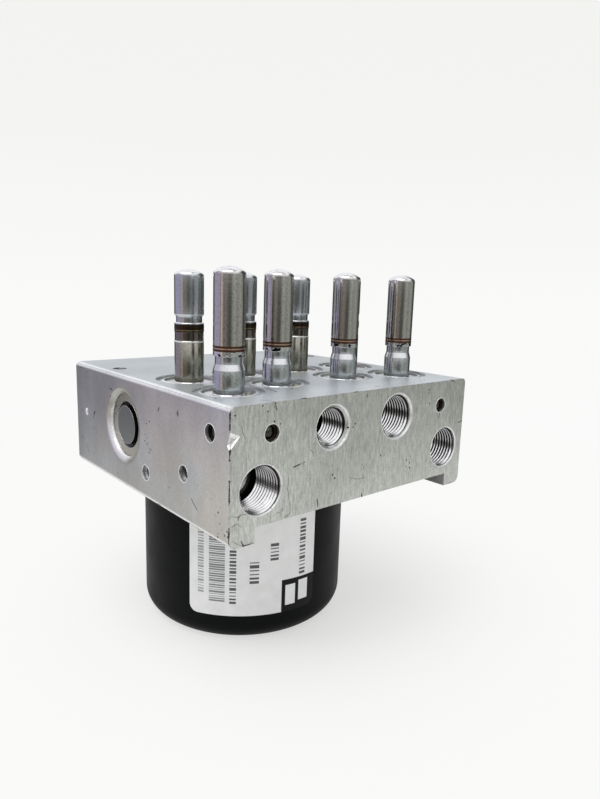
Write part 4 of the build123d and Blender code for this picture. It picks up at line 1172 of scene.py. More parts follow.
@dataclass
class ValveBlock:
    """Dress of the machined block: threads, burrs, staking and scratches."""

    finishes: Finishes
    pitch: float = 1.0 * MM
    thread_length: float = 9.2 * MM
    thread_depth: float = 0.56 * MM
    ports: tuple[Port, ...] = (
        Port(-34.6 * MM, 20.5 * MM, 6.0 * MM, 0.25 * MM),
        Port(-12.2 * MM, 8.4 * MM, 5.0 * MM, 0.9 * MM),
        Port(12.2 * MM, 8.4 * MM, 6.0 * MM, 0.55 * MM),
        Port(34.6 * MM, 20.5 * MM, 6.0 * MM, 0.25 * MM),
        Port(-34.6 * MM, 10.5 * MM, 6.0 * MM, 0.25 * MM, Facing.BACK),
        Port(34.6 * MM, 10.5 * MM, 6.0 * MM, 0.25 * MM, Facing.BACK),
    )
    dish_rims: tuple[Corner, ...] = ((6.86 * MM, 1.73 * MM), (5.5 * MM, 1.17 * MM))
    dish_step: Corner = (9.2 * MM, 1.38 * MM)
    ball_radius: float = 2.22 * MM
    front_ball_x: float = 31.7 * MM
    front_ball_drop: float = 7.3 * MM
    side_balls: tuple[Corner, ...] = ((8.0 * MM, 7.3 * MM), (20.0 * MM, 20.1 * MM), (40.3 * MM, 25.1 * MM))
    burr: Pair = (0.1 * MM, 0.22 * MM)
    turned_edge: Pair = (0.05 * MM, 0.06 * MM)
    edge_inset: float = 0.18 * MM
    # wire along the top and left edges of the port face, a burr coloured near white as a painted highlight:
    # step, radius, wander
    edge_burr_highlight: Triple = (0.35 * MM, 0.10 * MM, 0.24 * MM)
    scratch: Triple = (0.25 * MM, 0.05 * MM, 0.22 * MM)
    scratches_mm: tuple[tuple[Corner, ...], ...] = (
        ((-26.4, 18.8), (-26.6, 21.7), (-25.5, 27.3), (-26.0, 28.4), (-27.2, 28.8)),
        ((-43.0, 25.0), (-41.0, 25.6), (-39.4, 25.2), (-37.6, 25.8)),
        ((-42.6, 27.6), (-41.2, 27.0), (-40.0, 28.2)),
        ((-31.0, 27.6), (-29.4, 27.0), (-28.6, 27.4)),
        ((-42.4, 31.0), (-40.4, 32.6), (-38.0, 32.9), (-36.8, 32.7)),
        ((-5.7, 22.8), (-2.6, 23.8), (0.6, 23.8)),
        ((-1.4, 20.0), (-0.2, 20.2), (-0.4, 21.4), (-1.2, 21.2)),
        ((-19.8, 13.0), (-18.8, 13.8), (-18.6, 15.0)),
        ((-40.4, 4.4), (-40.0, 6.0), (-39.2, 7.6)),
    )

    def __post_init__(self) -> None:
        """Read the block's box."""
        self.low, self.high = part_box("valve_block")

    def port_place(self, port: Port) -> Vector:
        """Centre of a port's mouth."""
        y = self.low.y if port.face is Facing.FRONT else self.high.y
        return Vector((port.x, y, self.high.z - port.drop))

    def threads(self) -> None:
        """Cut the threads of every port."""
        tree = thread_tree()
        for number, port in enumerate(self.ports, start=1):
            turns = (self.thread_length - port.chamfer) / self.pitch
            ridge = tree.make(
                f"port_thread_{number}", Radius=port.radius, Pitch=self.pitch, Turns=turns,
                Depth=self.thread_depth, Finish=self.finishes["thread_alloy"],
            )
            inward = -Vector(port.face.value)
            start = self.port_place(port) + inward * (port.chamfer + self.pitch / 2)
            turn = inward.to_track_quat("Z", "Y").to_matrix().to_4x4()
            ridge.data.transform(Matrix.Translation(start) @ turn)
            ridden(ridge)
            LOG.info("%s: %d faces", ridge.name, len(ridge.data.polygons))

    def mouths(self) -> list[Ring]:
        """Mouth of every port and ball hole."""
        out = [Ring(self.port_place(p), p.radius + p.chamfer, p.face) for p in self.ports]
        for x in (-self.front_ball_x, self.front_ball_x):
            place = Vector((x, self.low.y, self.high.z - self.front_ball_drop))
            out.append(Ring(place, self.ball_radius, Facing.FRONT))
        for x, face in ((self.low.x, Facing.LEFT), (self.high.x, Facing.RIGHT)):
            for setback, drop in self.side_balls:
                place = Vector((x, self.low.y + setback, self.high.z - drop))
                out.append(Ring(place, self.ball_radius, face))
        return out

    def plug_edges(self, rims: Iterable[Corner]) -> list[Ring]:
        """Turned edges in the pump dishes, from pairs of radius and depth."""
        plug = centre_of("pump_plug_left")
        sides = ((self.low.x, 1, Facing.LEFT), (self.high.x, -1, Facing.RIGHT))
        return [
            Ring(Vector((x + inward * depth, plug.y, plug.z)), radius, face)
            for x, inward, face in sides
            for radius, depth in rims
        ]

    def rings(self, name: str, found: Sequence[Ring], size: Pair, finish: str) -> None:
        """Raise a thin uneven wire round each mouth or edge.

        Args:
            name: Name of the piece.
            found: The rings.
            size: Radius of the wire, and how far it wanders.
            finish: Material name.
        """
        mesh = bpy.data.meshes.new("mouths")
        mesh.from_pydata([tuple(ring.place) for ring in found], [], [])
        reach = mesh.attributes.new("reach", "FLOAT", "POINT")
        look = mesh.attributes.new("look", "FLOAT_VECTOR", "POINT")
        reach.data.foreach_set("value", [ring.radius for ring in found])
        look.data.foreach_set("vector", [c for ring in found for c in ring.face.value])
        piece = burr_tree().make(
            name, mesh, Thickness=size[0], Unevenness=size[1], Finish=self.finishes[finish]
        )
        ridden(piece)
        LOG.info("%s: %d rings", name, len(found))

    def wires(self, name: str, lines: Sequence[Sequence[Vector]], size: Triple, finish: str) -> None:
        """Lay thin uneven wires along lines.

        Args:
            name: Name of the piece.
            lines: Points of each line.
            size: Step between a wire's bends, its radius, and how far it wanders.
            finish: Material name.
        """
        points: list[Sequence[float]] = []
        edges: list[tuple[int, int]] = []
        for line in lines:
            edges += [(len(points) + i, len(points) + i + 1) for i in range(len(line) - 1)]
            points += [tuple(p) for p in line]
        mesh = bpy.data.meshes.new(name + "_lines")
        mesh.from_pydata(points, edges, [])
        piece = seam_tree().make(
            name, mesh, Step=size[0], Thickness=size[1], Unevenness=size[2], Finish=self.finishes[finish]
        )
        ridden(piece)
        LOG.info("%s: %d lines", name, len(lines))

    def edges(self) -> list[list[Vector]]:
        """Top and left edges of the port face, from the corner where they meet."""
        inset = Vector((1, 1, 1)) * self.edge_inset
        low, high = self.low + inset, self.high - inset
        corner = Vector((low.x, low.y, high.z))
        return [[corner, Vector((high.x, low.y, high.z))], [corner, low]]

    def build(self) -> None:
        """Build every piece of the block's dress."""
        self.threads()
        # burr rings round the mouths, coloured near white as a painted highlight
        self.rings("mouth_burrs", self.mouths(), self.burr, "bare_rim")
        self.rings("plug_edges", self.plug_edges(self.dish_rims), self.turned_edge, "cap_steel")
        self.rings("dish_steps", self.plug_edges([self.dish_step]), self.turned_edge, "scratch_dark")
        # burr along the top and left edges of the port face, coloured near white as a painted highlight
        self.wires("edge_burr_highlight", self.edges(), self.edge_burr_highlight, "bare_rim")
        scratches = [
            [Vector((x * MM, self.low.y, self.high.z - drop * MM)) for x, drop in line]
            for line in self.scratches_mm
        ]
        self.wires("port_face_scratches", scratches, self.scratch, "scratch_dark")


@dataclass
class ValveRow:
    """What the valves of both rows share; heights are measured from the valve face."""

    finishes: Finishes
    radius: float = 4.0 * MM
    neck: float = 3.52 * MM
    knuckle: float = 1.1 * MM
    sleeve_bore: float = 3.55 * MM
    spigot: float = 3.53 * MM
    pin_bore: float = 1.05 * MM
    orifice: float = 0.6 * MM
    nose: Corner = (3.5 * MM, 14.0 * MM)
    shank: Corner = (5.0 * MM, 9.0 * MM)
    flange_radius: float = 6.8 * MM
    flange_drop: float = 0.7 * MM
    flange_thickness: float = 1.5 * MM
    bead_root: float = 0.35 * MM
    band_root: float = 0.3 * MM

    def shank_corners(self) -> list[Corner]:
        """Outside corners from the orifice up to the foot of the tube."""
        seat = self.flange_drop + self.flange_thickness
        return [
            (self.orifice, -self.nose[1]), (self.nose[0], -self.nose[1]), (self.nose[0], -self.shank[1]),
            (self.shank[0], -self.shank[1]), (self.shank[0], -seat), (self.flange_radius, -seat),
            (self.flange_radius, -self.flange_drop), (self.radius, -self.flange_drop),
        ]

    def bead(self, low: float, high: float, swell: float, steps: int = 8) -> list[Corner]:
        """Low ring with a softly swollen outside.

        Args:
            low: Lower edge.
            high: Upper edge.
            swell: How far its middle stands out of the tube.
            steps: Corners along its outside.

        Returns:
            Corners of the ring.
        """
        root = self.radius - self.bead_root
        shares = [i / steps for i in range(steps + 1)]
        swollen = [(self.radius + swell * math.sin(math.pi * s), low + (high - low) * s) for s in shares]
        return [(root, low), *swollen, (root, high)]

    def band(self, inside: float, foot: Corner, head: Corner) -> list[Corner]:
        """Ring whose outside runs straight between two corners.

        Args:
            inside: Radius of the steel just under its thinnest place.
            foot: Lower corner.
            head: Upper corner.

        Returns:
            Corners of the ring.
        """
        root = inside - self.band_root
        return [(root, foot[1]), foot, head, (root, head[1])]

    def stand(self, row: str, parts: dict[str, tuple[list[Corner], str]], nodes: tuple[str, str]) -> None:
        """Turn the row's pieces and stand them on their four places.

        Args:
            row: Name of the row.
            parts: Outline and finish of each piece, the two that replace nodes first.
            nodes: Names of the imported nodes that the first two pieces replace.
        """
        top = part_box("valve_block")[1].z
        for number in range(1, 5):
            middle = centre_of(f"{nodes[0]}_{number}")
            place = Matrix.Translation((middle.x, middle.y, top))
            for at, (part, (outline, finish)) in enumerate(parts.items()):
                mesh = lathe(f"{row}_{part}_{number}", outline)
                mesh.transform(place)
                piece = new_piece(mesh.name, mesh, self.finishes[finish])
                ridden(piece, [f"{node}_{number}" for node in nodes[at:at + 1]])
        LOG.info("%s valves: 4 of %d pieces", row, len(parts))


@dataclass
class InletValves(ValveRow):
    """The four tall valve tubes beside the pipe ports."""

    top: float = 30.55 * MM
    crown_height: float = 2.0 * MM
    sleeve_wall: float = 0.45 * MM
    seam: float = 10.7 * MM
    seam_line: float = 0.10 * MM
    collar: Pair = (8.85 * MM, 9.95 * MM)
    welds: tuple[Pair, Pair] = ((10.0 * MM, 10.55 * MM), (10.85 * MM, 11.4 * MM))
    collar_swell: float = 0.015 * MM
    weld_swell: float = 0.05 * MM
    line_swell: float = 0.02 * MM
    neck_bottom: float = 6.95 * MM
    cone_bottom: float = 5.25 * MM
    cone_skin: float = 0.012 * MM
    cone_inset: float = 0.12 * MM
    spigot_top: float = 14.0 * MM
    chamber: Corner = (2.4 * MM, 6.0 * MM)
    seat: float = 12.2 * MM

    def sleeve(self) -> list[Corner]:
        """Closed sleeve, open at its seam."""
        wall_top, wall = self.top - self.crown_height, self.sleeve_wall
        outside = crown(self.radius, wall_top, self.crown_height, self.knuckle)
        inside = crown(self.sleeve_bore, wall_top, self.crown_height - wall, self.knuckle - wall)
        return [(self.sleeve_bore, self.seam), (self.radius, self.seam)] + outside + inside[::-1]

    def body(self) -> list[Corner]:
        """Body with its cone, neck and the spigot inside the sleeve."""
        outside = self.shank_corners() + [
            (self.radius, self.cone_bottom), (self.neck, self.neck_bottom),
            (self.neck, self.collar[0]), (self.radius, self.collar[0]),
            (self.radius, self.seam), (self.spigot, self.seam),
        ]
        return eased(outside) + [
            (self.spigot, self.spigot_top), (self.pin_bore, self.spigot_top),
            (self.pin_bore, -self.chamber[1]), (self.chamber[0], -self.chamber[1]),
            (self.chamber[0], -self.seat), (self.orifice, -self.seat),
        ]

    def cone(self) -> list[Corner]:
        """Thin skin on the cone that carries a painted highlight."""
        slope = (self.radius - self.neck) / (self.neck_bottom - self.cone_bottom)
        levels = (self.cone_bottom + self.cone_inset, self.neck_bottom - self.cone_inset)
        reach = self.radius + self.cone_skin
        foot, head = ((reach - (level - self.cone_bottom) * slope, level) for level in levels)
        return self.band(self.neck, foot, head)

    def build(self) -> None:
        """Build the four valves."""
        low, high = self.seam - self.seam_line, self.seam + self.seam_line
        lower, upper = self.welds
        parts = {
            "sleeve": (self.sleeve(), "valve_steel"),
            "base": (self.body(), "valve_base"),
            # the skin on the cone carries a painted highlight
            "cone": (self.cone(), "cone_steel"),
            "collar": (self.bead(*self.collar, self.collar_swell), "nicked_rim"),
            "lower_weld": (self.bead(*lower, self.weld_swell), "weld_brown"),
            "upper_weld": (self.bead(*upper, self.weld_swell), "weld_brown"),
            "gold_line": (self.bead(low, high, self.line_swell), "weld_gold"),
        }
        self.stand("inlet", parts, ("inlet_dome", "inlet_body"))


@dataclass
class OutletValves(ValveRow):
    """The four valve tubes behind them, each with a solid pole piece as its cap."""

    top: float = 29.8 * MM
    crown_height: float = 1.8 * MM
    cap_bottom: float = 17.8 * MM
    neck_top: float = 17.2 * MM
    neck_bottom: float = 15.5 * MM
    seam: float = 15.0 * MM
    gold_level: float = 13.55 * MM
    line: float = 0.12 * MM
    pole_bottom: float = 8.9 * MM
    band_top: float = 13.1 * MM
    band_bottom: float = 10.6 * MM
    band_depth: float = 0.1 * MM
    # the skin with painted shade: how far it stands off the band, and how far its foot sits above the band's
    # foot
    scorch: Pair = (0.01 * MM, 0.2 * MM)
    lower_line: float = 0.3 * MM
    weld_swells: Pair = (0.01 * MM, 0.03 * MM)
    line_swell: float = 0.015 * MM
    chamber_bottom: float = 3.9 * MM
    nose_wall: float = 1.8 * MM

    def pole(self) -> list[Corner]:
        """Pole piece: spigot in the tube, neck and domed cap."""
        wall_top = self.top - self.crown_height
        corners = [
            (0.0, self.pole_bottom), (self.spigot, self.pole_bottom), (self.spigot, self.seam),
            (self.radius, self.seam), (self.radius, self.neck_bottom), (self.neck, self.neck_bottom),
            (self.neck, self.neck_top), (self.radius, self.cap_bottom), (self.radius, wall_top),
        ]
        return eased(corners) + crown(self.radius, wall_top, self.crown_height, self.knuckle)[1:]

    def body(self) -> list[Corner]:
        """Body with its recessed band, open at the seam."""
        band, floor = self.radius - self.band_depth, self.nose_wall - self.nose[1]
        outside = self.shank_corners() + [
            (self.radius, self.band_bottom), (band, self.band_bottom + self.band_depth),
            (band, self.band_top), (self.radius, self.band_top), (self.radius, self.seam),
        ]
        return eased(outside) + [
            (self.sleeve_bore, self.seam), (self.sleeve_bore, -self.chamber_bottom),
            (self.pin_bore, -self.chamber_bottom), (self.pin_bore, floor), (self.orifice, floor),
        ]

    def scorched(self) -> list[Corner]:
        """Thin skin in the recessed band that carries painted shade."""
        inside = self.radius - self.band_depth
        reach = inside + self.scorch[0]
        return self.band(inside, (reach, self.band_bottom + self.scorch[1]), (reach, self.band_top))

    def build(self) -> None:
        """Build the four valves."""
        low, high = self.gold_level - self.line, self.gold_level + self.line
        foot = self.band_bottom - self.lower_line
        parts = {
            "cap": (self.pole(), "pole_steel"),
            "base": (self.body(), "outlet_base"),
            "lower_weld": (self.bead(self.band_top, low, self.weld_swells[0]), "weld_black"),
            "upper_weld": (self.bead(high, self.seam, self.weld_swells[1]), "weld_black"),
            "gold_line": (self.bead(low, high, self.line_swell), "weld_olive"),
            # the recessed band is painted darker as shade
            "shaded_band": (self.scorched(), "scorched_steel"),
            # bright lines at the cap's bevel and the band's foot: painted highlight on these edges
            "cap_line": (self.bead(self.cap_bottom - self.line, self.cap_bottom, 0.0), "bare_rim"),
            "lower_line": (self.bead(foot, self.band_bottom, self.line_swell), "bare_rim"),
        }
        self.stand("outlet", parts, ("outlet_pole", "outlet_body"))


@dataclass(frozen=True)
class Strip:
    """Strip of the label in degrees round the can and millimetres over its end; plain without bars."""

    name: str
    finish: str
    start: float
    end: float
    low: float
    high: float
    bars: int = 0


@dataclass
class MotorDress:
    """Motor can with its flange, and the label on it."""

    finishes: Finishes
    radius: float = 33.0 * MM
    rounding: float = 6.0 * MM
    rounding_steps: int = 15
    wall: float = 2.0 * MM
    bush_radius: float = 8.02 * MM
    collar_top: float = 6.4 * MM
    flange_radius: float = 34.0 * MM
    flange_thickness: float = 1.5 * MM
    ear_radius: float = 6.0 * MM
    screw_head: float = 4.2 * MM
    film: float = 0.12 * MM
    ink: float = 0.02 * MM
    facet: float = 0.8 * MM
    start_angle: float = -154.5
    end_angle: float = -85.5
    low: float = 8.9 * MM
    high: float = 44.9 * MM
    corner: float = 2.6 * MM
    field_start: float = -105.5
    field_top: float = 19.2 * MM
    strips: tuple[Strip, ...] = (
        Strip("label_pale_block_1", "label_film", -103.4, -97.6, 10.9, 17.4),
        Strip("label_pale_block_2", "label_film", -95.6, -89.8, 11.6, 18.1),
        Strip("label_fine_bars", "label_grey", -143.5, -135.2, 13.6, 37.6, 34),
        Strip("label_narrow_column", "label_pale_grey", -149.6, -146.4, 16.0, 37.0, 24),
        Strip("label_middle_column", "label_dark_grey", -132.8, -129.4, 13.2, 30.4, 16),
        Strip("label_short_column_1", "label_dark_grey", -122.6, -117.8, 19.6, 27.0, 6),
        Strip("label_short_column_2", "label_dark_grey", -112.0, -107.6, 26.4, 32.0, 5),
        Strip("label_edge_column", "label_dark_grey", -95.4, -91.8, 20.4, 38.4, 15),
    )

    def __post_init__(self) -> None:
        """Read the height where the flange meets the block, and the centres of the four screws."""
        self.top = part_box("motor_can")[1].z
        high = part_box("motor_screws")[1]
        x, y = high.x - self.screw_head, high.y - self.screw_head
        self.ears = [(i * x, j * y) for i in (-1, 1) for j in (-1, 1)]

    def arc_length(self, angle: float) -> float:
        """Length round the wall at an angle in degrees."""
        return math.radians(angle) * self.radius

    def wrap(self, mesh: bpy.types.Mesh, lift: float) -> None:
        """Bend a flat mesh whose X is length and Y is height round the wall.

        Args:
            mesh: The mesh.
            lift: Distance out of the wall.
        """
        bm = bmesh.new()
        bm.from_mesh(mesh)
        for vertex in bm.verts:
            angle, reach = vertex.co.x / self.radius, self.radius + lift + vertex.co.z
            vertex.co = (reach * math.cos(angle), reach * math.sin(angle), vertex.co.y)
        bmesh.ops.recalc_face_normals(bm, faces=bm.faces)
        for face in bm.faces:
            middle = face.calc_center_median()
            if face.normal.dot(Vector((middle.x, middle.y, 0))) < 0:
                face.normal_flip()
        bm.to_mesh(mesh)
        bm.free()

    def patch(self, name: str, outline: Sequence[Corner], lift: float, finish: str) -> bpy.types.Object:
        """Thin printed field that follows the wall.

        Args:
            name: Name of the piece.
            outline: Corners as length round the wall and height.
            lift: Distance out of the wall.
            finish: Material name.

        Returns:
            The piece.
        """
        bm = bmesh.new()
        bm.faces.new([bm.verts.new((x, z, 0.0)) for x, z in outline])
        left, right = min(p[0] for p in outline), max(p[0] for p in outline)
        steps = max(1, int((right - left) / self.facet))
        for i in range(1, steps):
            cut = (left + (right - left) * i / steps, 0, 0)
            geometry = [*bm.verts, *bm.edges, *bm.faces]
            bmesh.ops.bisect_plane(bm, geom=geometry, plane_co=cut, plane_no=(1, 0, 0))
        mesh = written(name, bm)
        self.wrap(mesh, lift)
        for polygon in mesh.polygons:
            polygon.use_smooth = True
        return ridden(new_piece(name, mesh, self.finishes[finish]))

    def bars(self, strip: Strip) -> None:
        """Column of bars across a strip of the label."""
        bars = bar_tree().make(
            strip.name, Width=self.arc_length(strip.end - strip.start), Bars=strip.bars,
            Length=(strip.high - strip.low) * MM, Finish=self.finishes[strip.finish],
        )
        middle = self.arc_length((strip.start + strip.end) / 2)
        bars.data.transform(Matrix.Translation((middle, strip.low * MM, 0)))
        self.wrap(bars.data, self.film + self.ink)
        ridden(bars)

    def sheet_outline(self) -> list[Corner]:
        """Label outline with rounded corners."""
        left = self.arc_length(self.start_angle) + self.corner
        right = self.arc_length(self.end_angle) - self.corner
        low, high = self.low + self.corner, self.high - self.corner
        centres = (((right, low), -90), ((right, high), 0), ((left, high), 90), ((left, low), 180))
        return [corner for centre, first in centres for corner in arc(centre, self.corner, first)]

    def field_outline(self) -> list[Corner]:
        """Black field in the label's lower right corner."""
        left, right = self.arc_length(self.field_start), self.arc_length(self.end_angle)
        bend = arc((right - self.corner, self.low + self.corner), self.corner, -90)
        return [(left, self.field_top), (left, self.low), *bend, (right, self.field_top)]

    def block_outline(self, strip: Strip) -> list[Corner]:
        """Four corners of a strip."""
        left, right = self.arc_length(strip.start), self.arc_length(strip.end)
        low, high = strip.low * MM, strip.high * MM
        return [(left, low), (right, low), (right, high), (left, high)]

    def label(self) -> None:
        """Film, black field, and bars in place of the print."""
        sheet = self.patch("label_sheet", self.sheet_outline(), self.film, "label_film")
        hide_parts("motor_label")
        self.patch("label_black_field", self.field_outline(), self.film + self.ink, "label_ink")
        for strip in self.strips:
            if strip.bars:
                self.bars(strip)
            else:
                above = self.film + 2 * self.ink
                self.patch(strip.name, self.block_outline(strip), above, strip.finish)

    def quarter(self, radius: float, bend: float, level: float) -> list[Corner]:
        """Corners of the rounding from the end out to the wall.

        Args:
            radius: Radius of the wall.
            bend: Radius of the rounding.
            level: Height of the end.

        Returns:
            The corners.
        """
        return arc((radius - bend, level + bend), bend, -90, self.rounding_steps)

    def can(self) -> None:
        """Drawn can with its bush collar and its flange with four ears."""
        bore = self.radius - self.wall
        inside = self.quarter(bore, self.rounding - self.wall, self.wall)
        collar = self.bush_radius + self.wall
        outline = [
            (0.0, 0.0), *self.quarter(self.radius, self.rounding, 0.0), (self.radius, self.top),
            (bore, self.top), *inside[::-1], (collar, self.wall), (collar, self.collar_top),
            (self.bush_radius, self.collar_top), (self.bush_radius, self.wall), (0.0, self.wall),
        ]
        shell = joined("can_shell", [lathe("cup", outline, 160, 40.0), self.flange(bore + self.wall / 2)])
        ridden(new_piece("can_shell", shell, self.finishes["can_paint"]), ["motor_can"])

    def flange_reach(self, angle: float) -> float:
        """Distance from the shaft to the flange's edge at an angle in radians."""
        reach = self.flange_radius
        for x, y in self.ears:
            off, far = angle - math.atan2(y, x), math.hypot(x, y)
            if math.cos(off) <= 0:
                continue
            straight = self.ear_radius / max(abs(math.sin(off)), 1e-6)
            aside = far * math.sin(off)
            if straight * math.cos(off) <= far:
                reach = max(reach, straight)
            elif abs(aside) < self.ear_radius:
                chord = math.sqrt(self.ear_radius**2 - aside**2)
                reach = max(reach, far * math.cos(off) + chord)
        return reach

    def flange(self, opening: float, steps: int = 720) -> bpy.types.Mesh:
        """Flat flange under the block.

        Args:
            opening: Radius of its opening.
            steps: Corners round its edge.

        Returns:
            The mesh.
        """
        turn = [2 * math.pi * i / steps for i in range(steps)]
        reaches = map(self.flange_reach, turn)
        edge = [(reach * math.cos(a), reach * math.sin(a)) for reach, a in zip(reaches, turn)]
        foot = self.top - self.flange_thickness
        outer = [[Vector((x, y, level)) for x, y in edge] for level in (self.top, foot)]
        inner = [ring_at(opening, level, steps) for level in (foot, self.top)]
        return skinned("flange", outer + inner, 30.0)

    def build(self) -> None:
        """Build the motor's pieces."""
        self.can()
        self.label()
        LOG.info("motor can and label")


# ---------------------------------------------------------------- studio


@dataclass
class Studio:
    """Floor, light and camera."""

    camera_place: Triple = (-115.687 * MM, -161.182 * MM, 105.439 * MM)
    camera_right: Triple = (0.76003, -0.64914, 0.03117)
    camera_up: Triple = (0.09559, 0.15909, 0.98263)
    lens: float = 27.27
    floor_grey: float = 0.955
    floor_radius: float = 0.32
    floor_gap: float = 0.05 * MM
    floor_fade: Stops = ((0.0, 0.0), (0.72, 0.0), (0.98, 1.0))
    shadow_lift: Stops = ((0.0, 0.60), (0.16, 0.60), (0.36, 0.96))
    shadow_shift: float = 0.035
    lamp_share: float = 0.38
    lamp_side: float = -165.0
    lamp_height: float = 70.0
    lamp_width: float = 50.0
    backdrop: ColourStops = (
        (0.0, (0.95, 0.955, 0.94)), (0.25, (0.90, 0.905, 0.885)), (0.6, (0.89, 0.895, 0.875)),
    )
    panels: ColourStops = (
        (-180, (0.70, 0.60, 0.54)), (-174, (0.60, 0.52, 0.45)), (-168, (0.22, 0.19, 0.16)),
        (-148, (0.25, 0.23, 0.20)), (-140, (0.185, 0.175, 0.155)), (-132, (0.105, 0.10, 0.09)),
        (-114, (0.10, 0.10, 0.09)), (-105, (0.28, 0.30, 0.27)), (-88, (0.44, 0.46, 0.42)),
        (-70, (0.30, 0.32, 0.29)), (-45, (0.42, 0.44, 0.40)), (-25, (0.34, 0.36, 0.33)),
        (-14, (0.07, 0.07, 0.07)), (60, (0.05, 0.05, 0.06)), (101, (0.10, 0.11, 0.11)),
        (112, (0.46, 0.46, 0.49)), (125, (0.50, 0.45, 0.64)), (163, (0.50, 0.45, 0.64)),
        (171, (0.26, 0.23, 0.28)), (176, (0.70, 0.60, 0.54)), (180, (0.70, 0.60, 0.54)),
    )
    upper_panels: ColourStops = (
        (-180, (0.8, 0.78, 0.84)), (-150, (0.9, 0.9, 0.92)), (-120, (1.0, 1.0, 1.0)),
        (-60, (1.0, 1.0, 1.0)), (-38, (0.5, 0.5, 0.5)), (-25, (0.07, 0.07, 0.07)),
        (22, (0.07, 0.07, 0.07)), (36, (0.9, 0.92, 0.94)), (110, (0.95, 0.97, 1.0)),
        (122, (0.5, 0.48, 0.55)), (150, (0.6, 0.57, 0.68)), (180, (0.8, 0.78, 0.84)),
    )
    upper_rise: Pair = (0.05, 0.22)
    white_rise: Pair = (0.60, 0.76)
    overhead_rise: Pair = (0.80, 0.93)
    overhead_grey: float = 0.50

    def camera(self) -> None:
        """Camera at the viewing angle, upright frame."""
        data = bpy.data.cameras.new("camera")
        data.lens, data.sensor_width = self.lens, 36.0
        data.clip_start, data.clip_end = 0.001, 50.0
        camera = bpy.data.objects.new("camera", data)
        right, up = Vector(self.camera_right), Vector(self.camera_up)
        turn = Matrix((right, up, right.cross(up).normalized())).transposed().to_4x4()
        camera.matrix_world = Matrix.Translation(self.camera_place) @ turn
        bpy.context.scene.collection.objects.link(camera)
        bpy.context.scene.camera = camera

    def floor(self) -> None:
        """Round pale floor whose rim fades into the backdrop, and that is clear from below."""
        bm = bmesh.new()
        bmesh.ops.create_circle(bm, cap_ends=True, radius=self.floor_radius, segments=96)
        mesh = written("floor", bm)
        mesh.transform(Matrix.Translation((0, 0, -self.floor_gap)))
        s, grey = Shading("floor_white"), self.floor_grey
        material = s.finish(Base_Color=(grey, grey, grey), Roughness=0.9, Specular_IOR_Level=0.0)
        middle = s.stretched((1, 1, 1), (0, 0, 0), (-self.shadow_shift, 0, 0))
        away = s.node("ShaderNodeVectorMath", middle, operation="LENGTH").outputs["Value"]
        share = s.math("DIVIDE", away, self.floor_radius)
        glow = s.node("ShaderNodeEmission", (grey, grey, grey * 0.99, 1.0))
        rays = s.node("ShaderNodeLightPath").outputs
        seen = s.math("MAXIMUM", *(rays[f"Is {kind} Ray"] for kind in ("Camera", "Glossy", "Transmission")))
        lift = s.times(seen, s.ramp(share, *self.shadow_lift))
        lifted = s.mix_shaders(lift, s.shader.outputs[0], glow.outputs[0])
        below = s.node("ShaderNodeNewGeometry").outputs["Backfacing"]
        gone = s.math("MAXIMUM", s.ramp(share, *self.floor_fade), below)
        clear = s.node("ShaderNodeBsdfTransparent").outputs[0]
        s.feed(s.output.inputs["Surface"], s.mix_shaders(gone, lifted, clear))
        new_piece("floor", mesh, material)

    def lamp(self) -> None:
        """Wide soft lamp above and to the left."""
        side, rise = math.radians(self.lamp_side), math.radians(self.lamp_height)
        data = bpy.data.lights.new("soft_sun", "SUN")
        data.energy = self.lamp_share * math.pi / math.sin(rise)
        data.angle = math.radians(self.lamp_width)
        lamp = bpy.data.objects.new("soft_sun", data)
        toward = Vector((math.cos(side) * math.cos(rise), math.sin(side) * math.cos(rise), math.sin(rise)))
        lamp.rotation_euler = toward.to_track_quat("Z", "Y").to_euler()
        lamp.location = toward
        bpy.context.scene.collection.objects.link(lamp)

    def sky(self) -> None:
        """Pale surroundings; mirrors also see the dim gaps between the soft panels."""
        world = bpy.data.worlds.new("surroundings")
        bpy.context.scene.world = world
        world.use_nodes = True
        s, grey = Nodes(world.node_tree), self.floor_grey
        x, y, z = s.split(s.node("ShaderNodeTexCoord").outputs["Generated"])
        degrees = s.math("DEGREES", s.math("ARCTAN2", y, x))
        seen = s.ramp_over(z, -0.3, 0.6, ((-0.3, grey), *self.backdrop))
        lit = s.ramp_over(z, -0.1, 0.1, ((-0.01, grey), (0.01, 1 - self.lamp_share)))
        mirrored = s.ramp_over(degrees, -180, 180, self.panels)
        upper = s.ramp_over(degrees, -180, 180, self.upper_panels)
        layers = (
            (self.upper_rise, upper), (self.white_rise, (1.0, 1.0, 1.0)),
            (self.overhead_rise, (self.overhead_grey,) * 3),
        )
        for (start, end), layer in layers:
            mirrored = s.mixed(s.ramp_over(z, -1, 1, ((start, 0), (end, 1))), mirrored, layer)
        rays = s.node("ShaderNodeLightPath").outputs
        sharp = s.math("MAXIMUM", rays["Is Glossy Ray"], rays["Is Transmission Ray"])
        even, mirror, view = (
            s.node("ShaderNodeBackground", colour).outputs[0] for colour in (lit, mirrored, seen)
        )
        shader = s.mix_shaders(rays["Is Camera Ray"], s.mix_shaders(sharp, even, mirror), view)
        s.node("ShaderNodeOutputWorld", shader)

    def build(self) -> None:
        """Build the studio."""
        bpy.context.scene.view_settings.view_transform = "Standard"
        self.camera()
        self.floor()
        self.sky()
        self.lamp()
        LOG.info("studio")


# ---------------------------------------------------------------- the unit


def shorten_springs() -> None:
    """Give each coil spring that a joint deforms a mesh of its own."""
    for joint in frame["record"]["behaviour"]["joints"]:
        for spring in joint.get("deforming_nodes", []):
            along = spring["mode"][-1]
            index = "xyz".index(along)
            axis, seat = Vector(), Vector()
            axis[index], seat[index] = 1.0, spring[f"fixed_end_{along}_m"]
            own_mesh(frame["nodes"][spring["node"]])


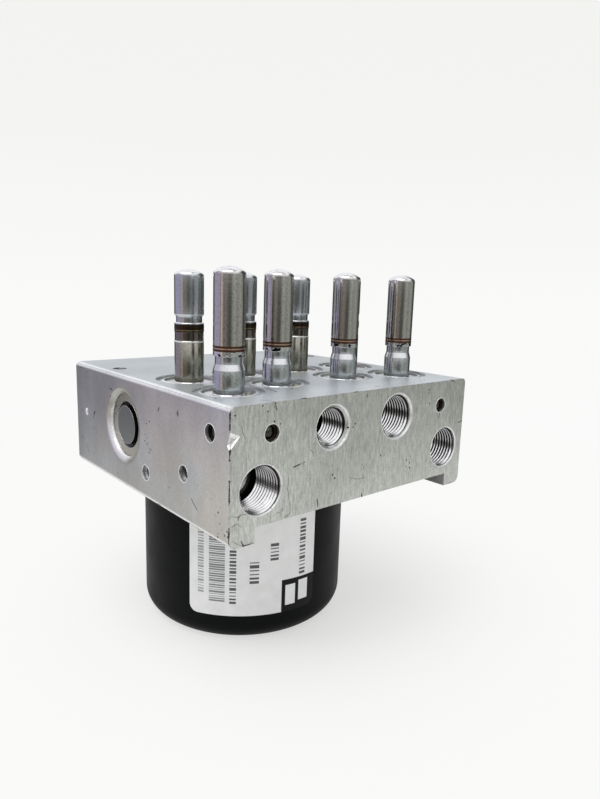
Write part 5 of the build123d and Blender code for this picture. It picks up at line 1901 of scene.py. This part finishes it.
def main() -> None:
    """Build the unit's looks in order."""
    logging.basicConfig(level=logging.INFO, format="%(name)s: %(message)s")
    finishes = Finishes().build()
    finishes.dress_nodes()
    Studio().build()
    ValveBlock(finishes).build()
    InletValves(finishes).build()
    OutletValves(finishes).build()
    MotorDress(finishes).build()
    shorten_springs()


if __name__ == "__main__":
    main()
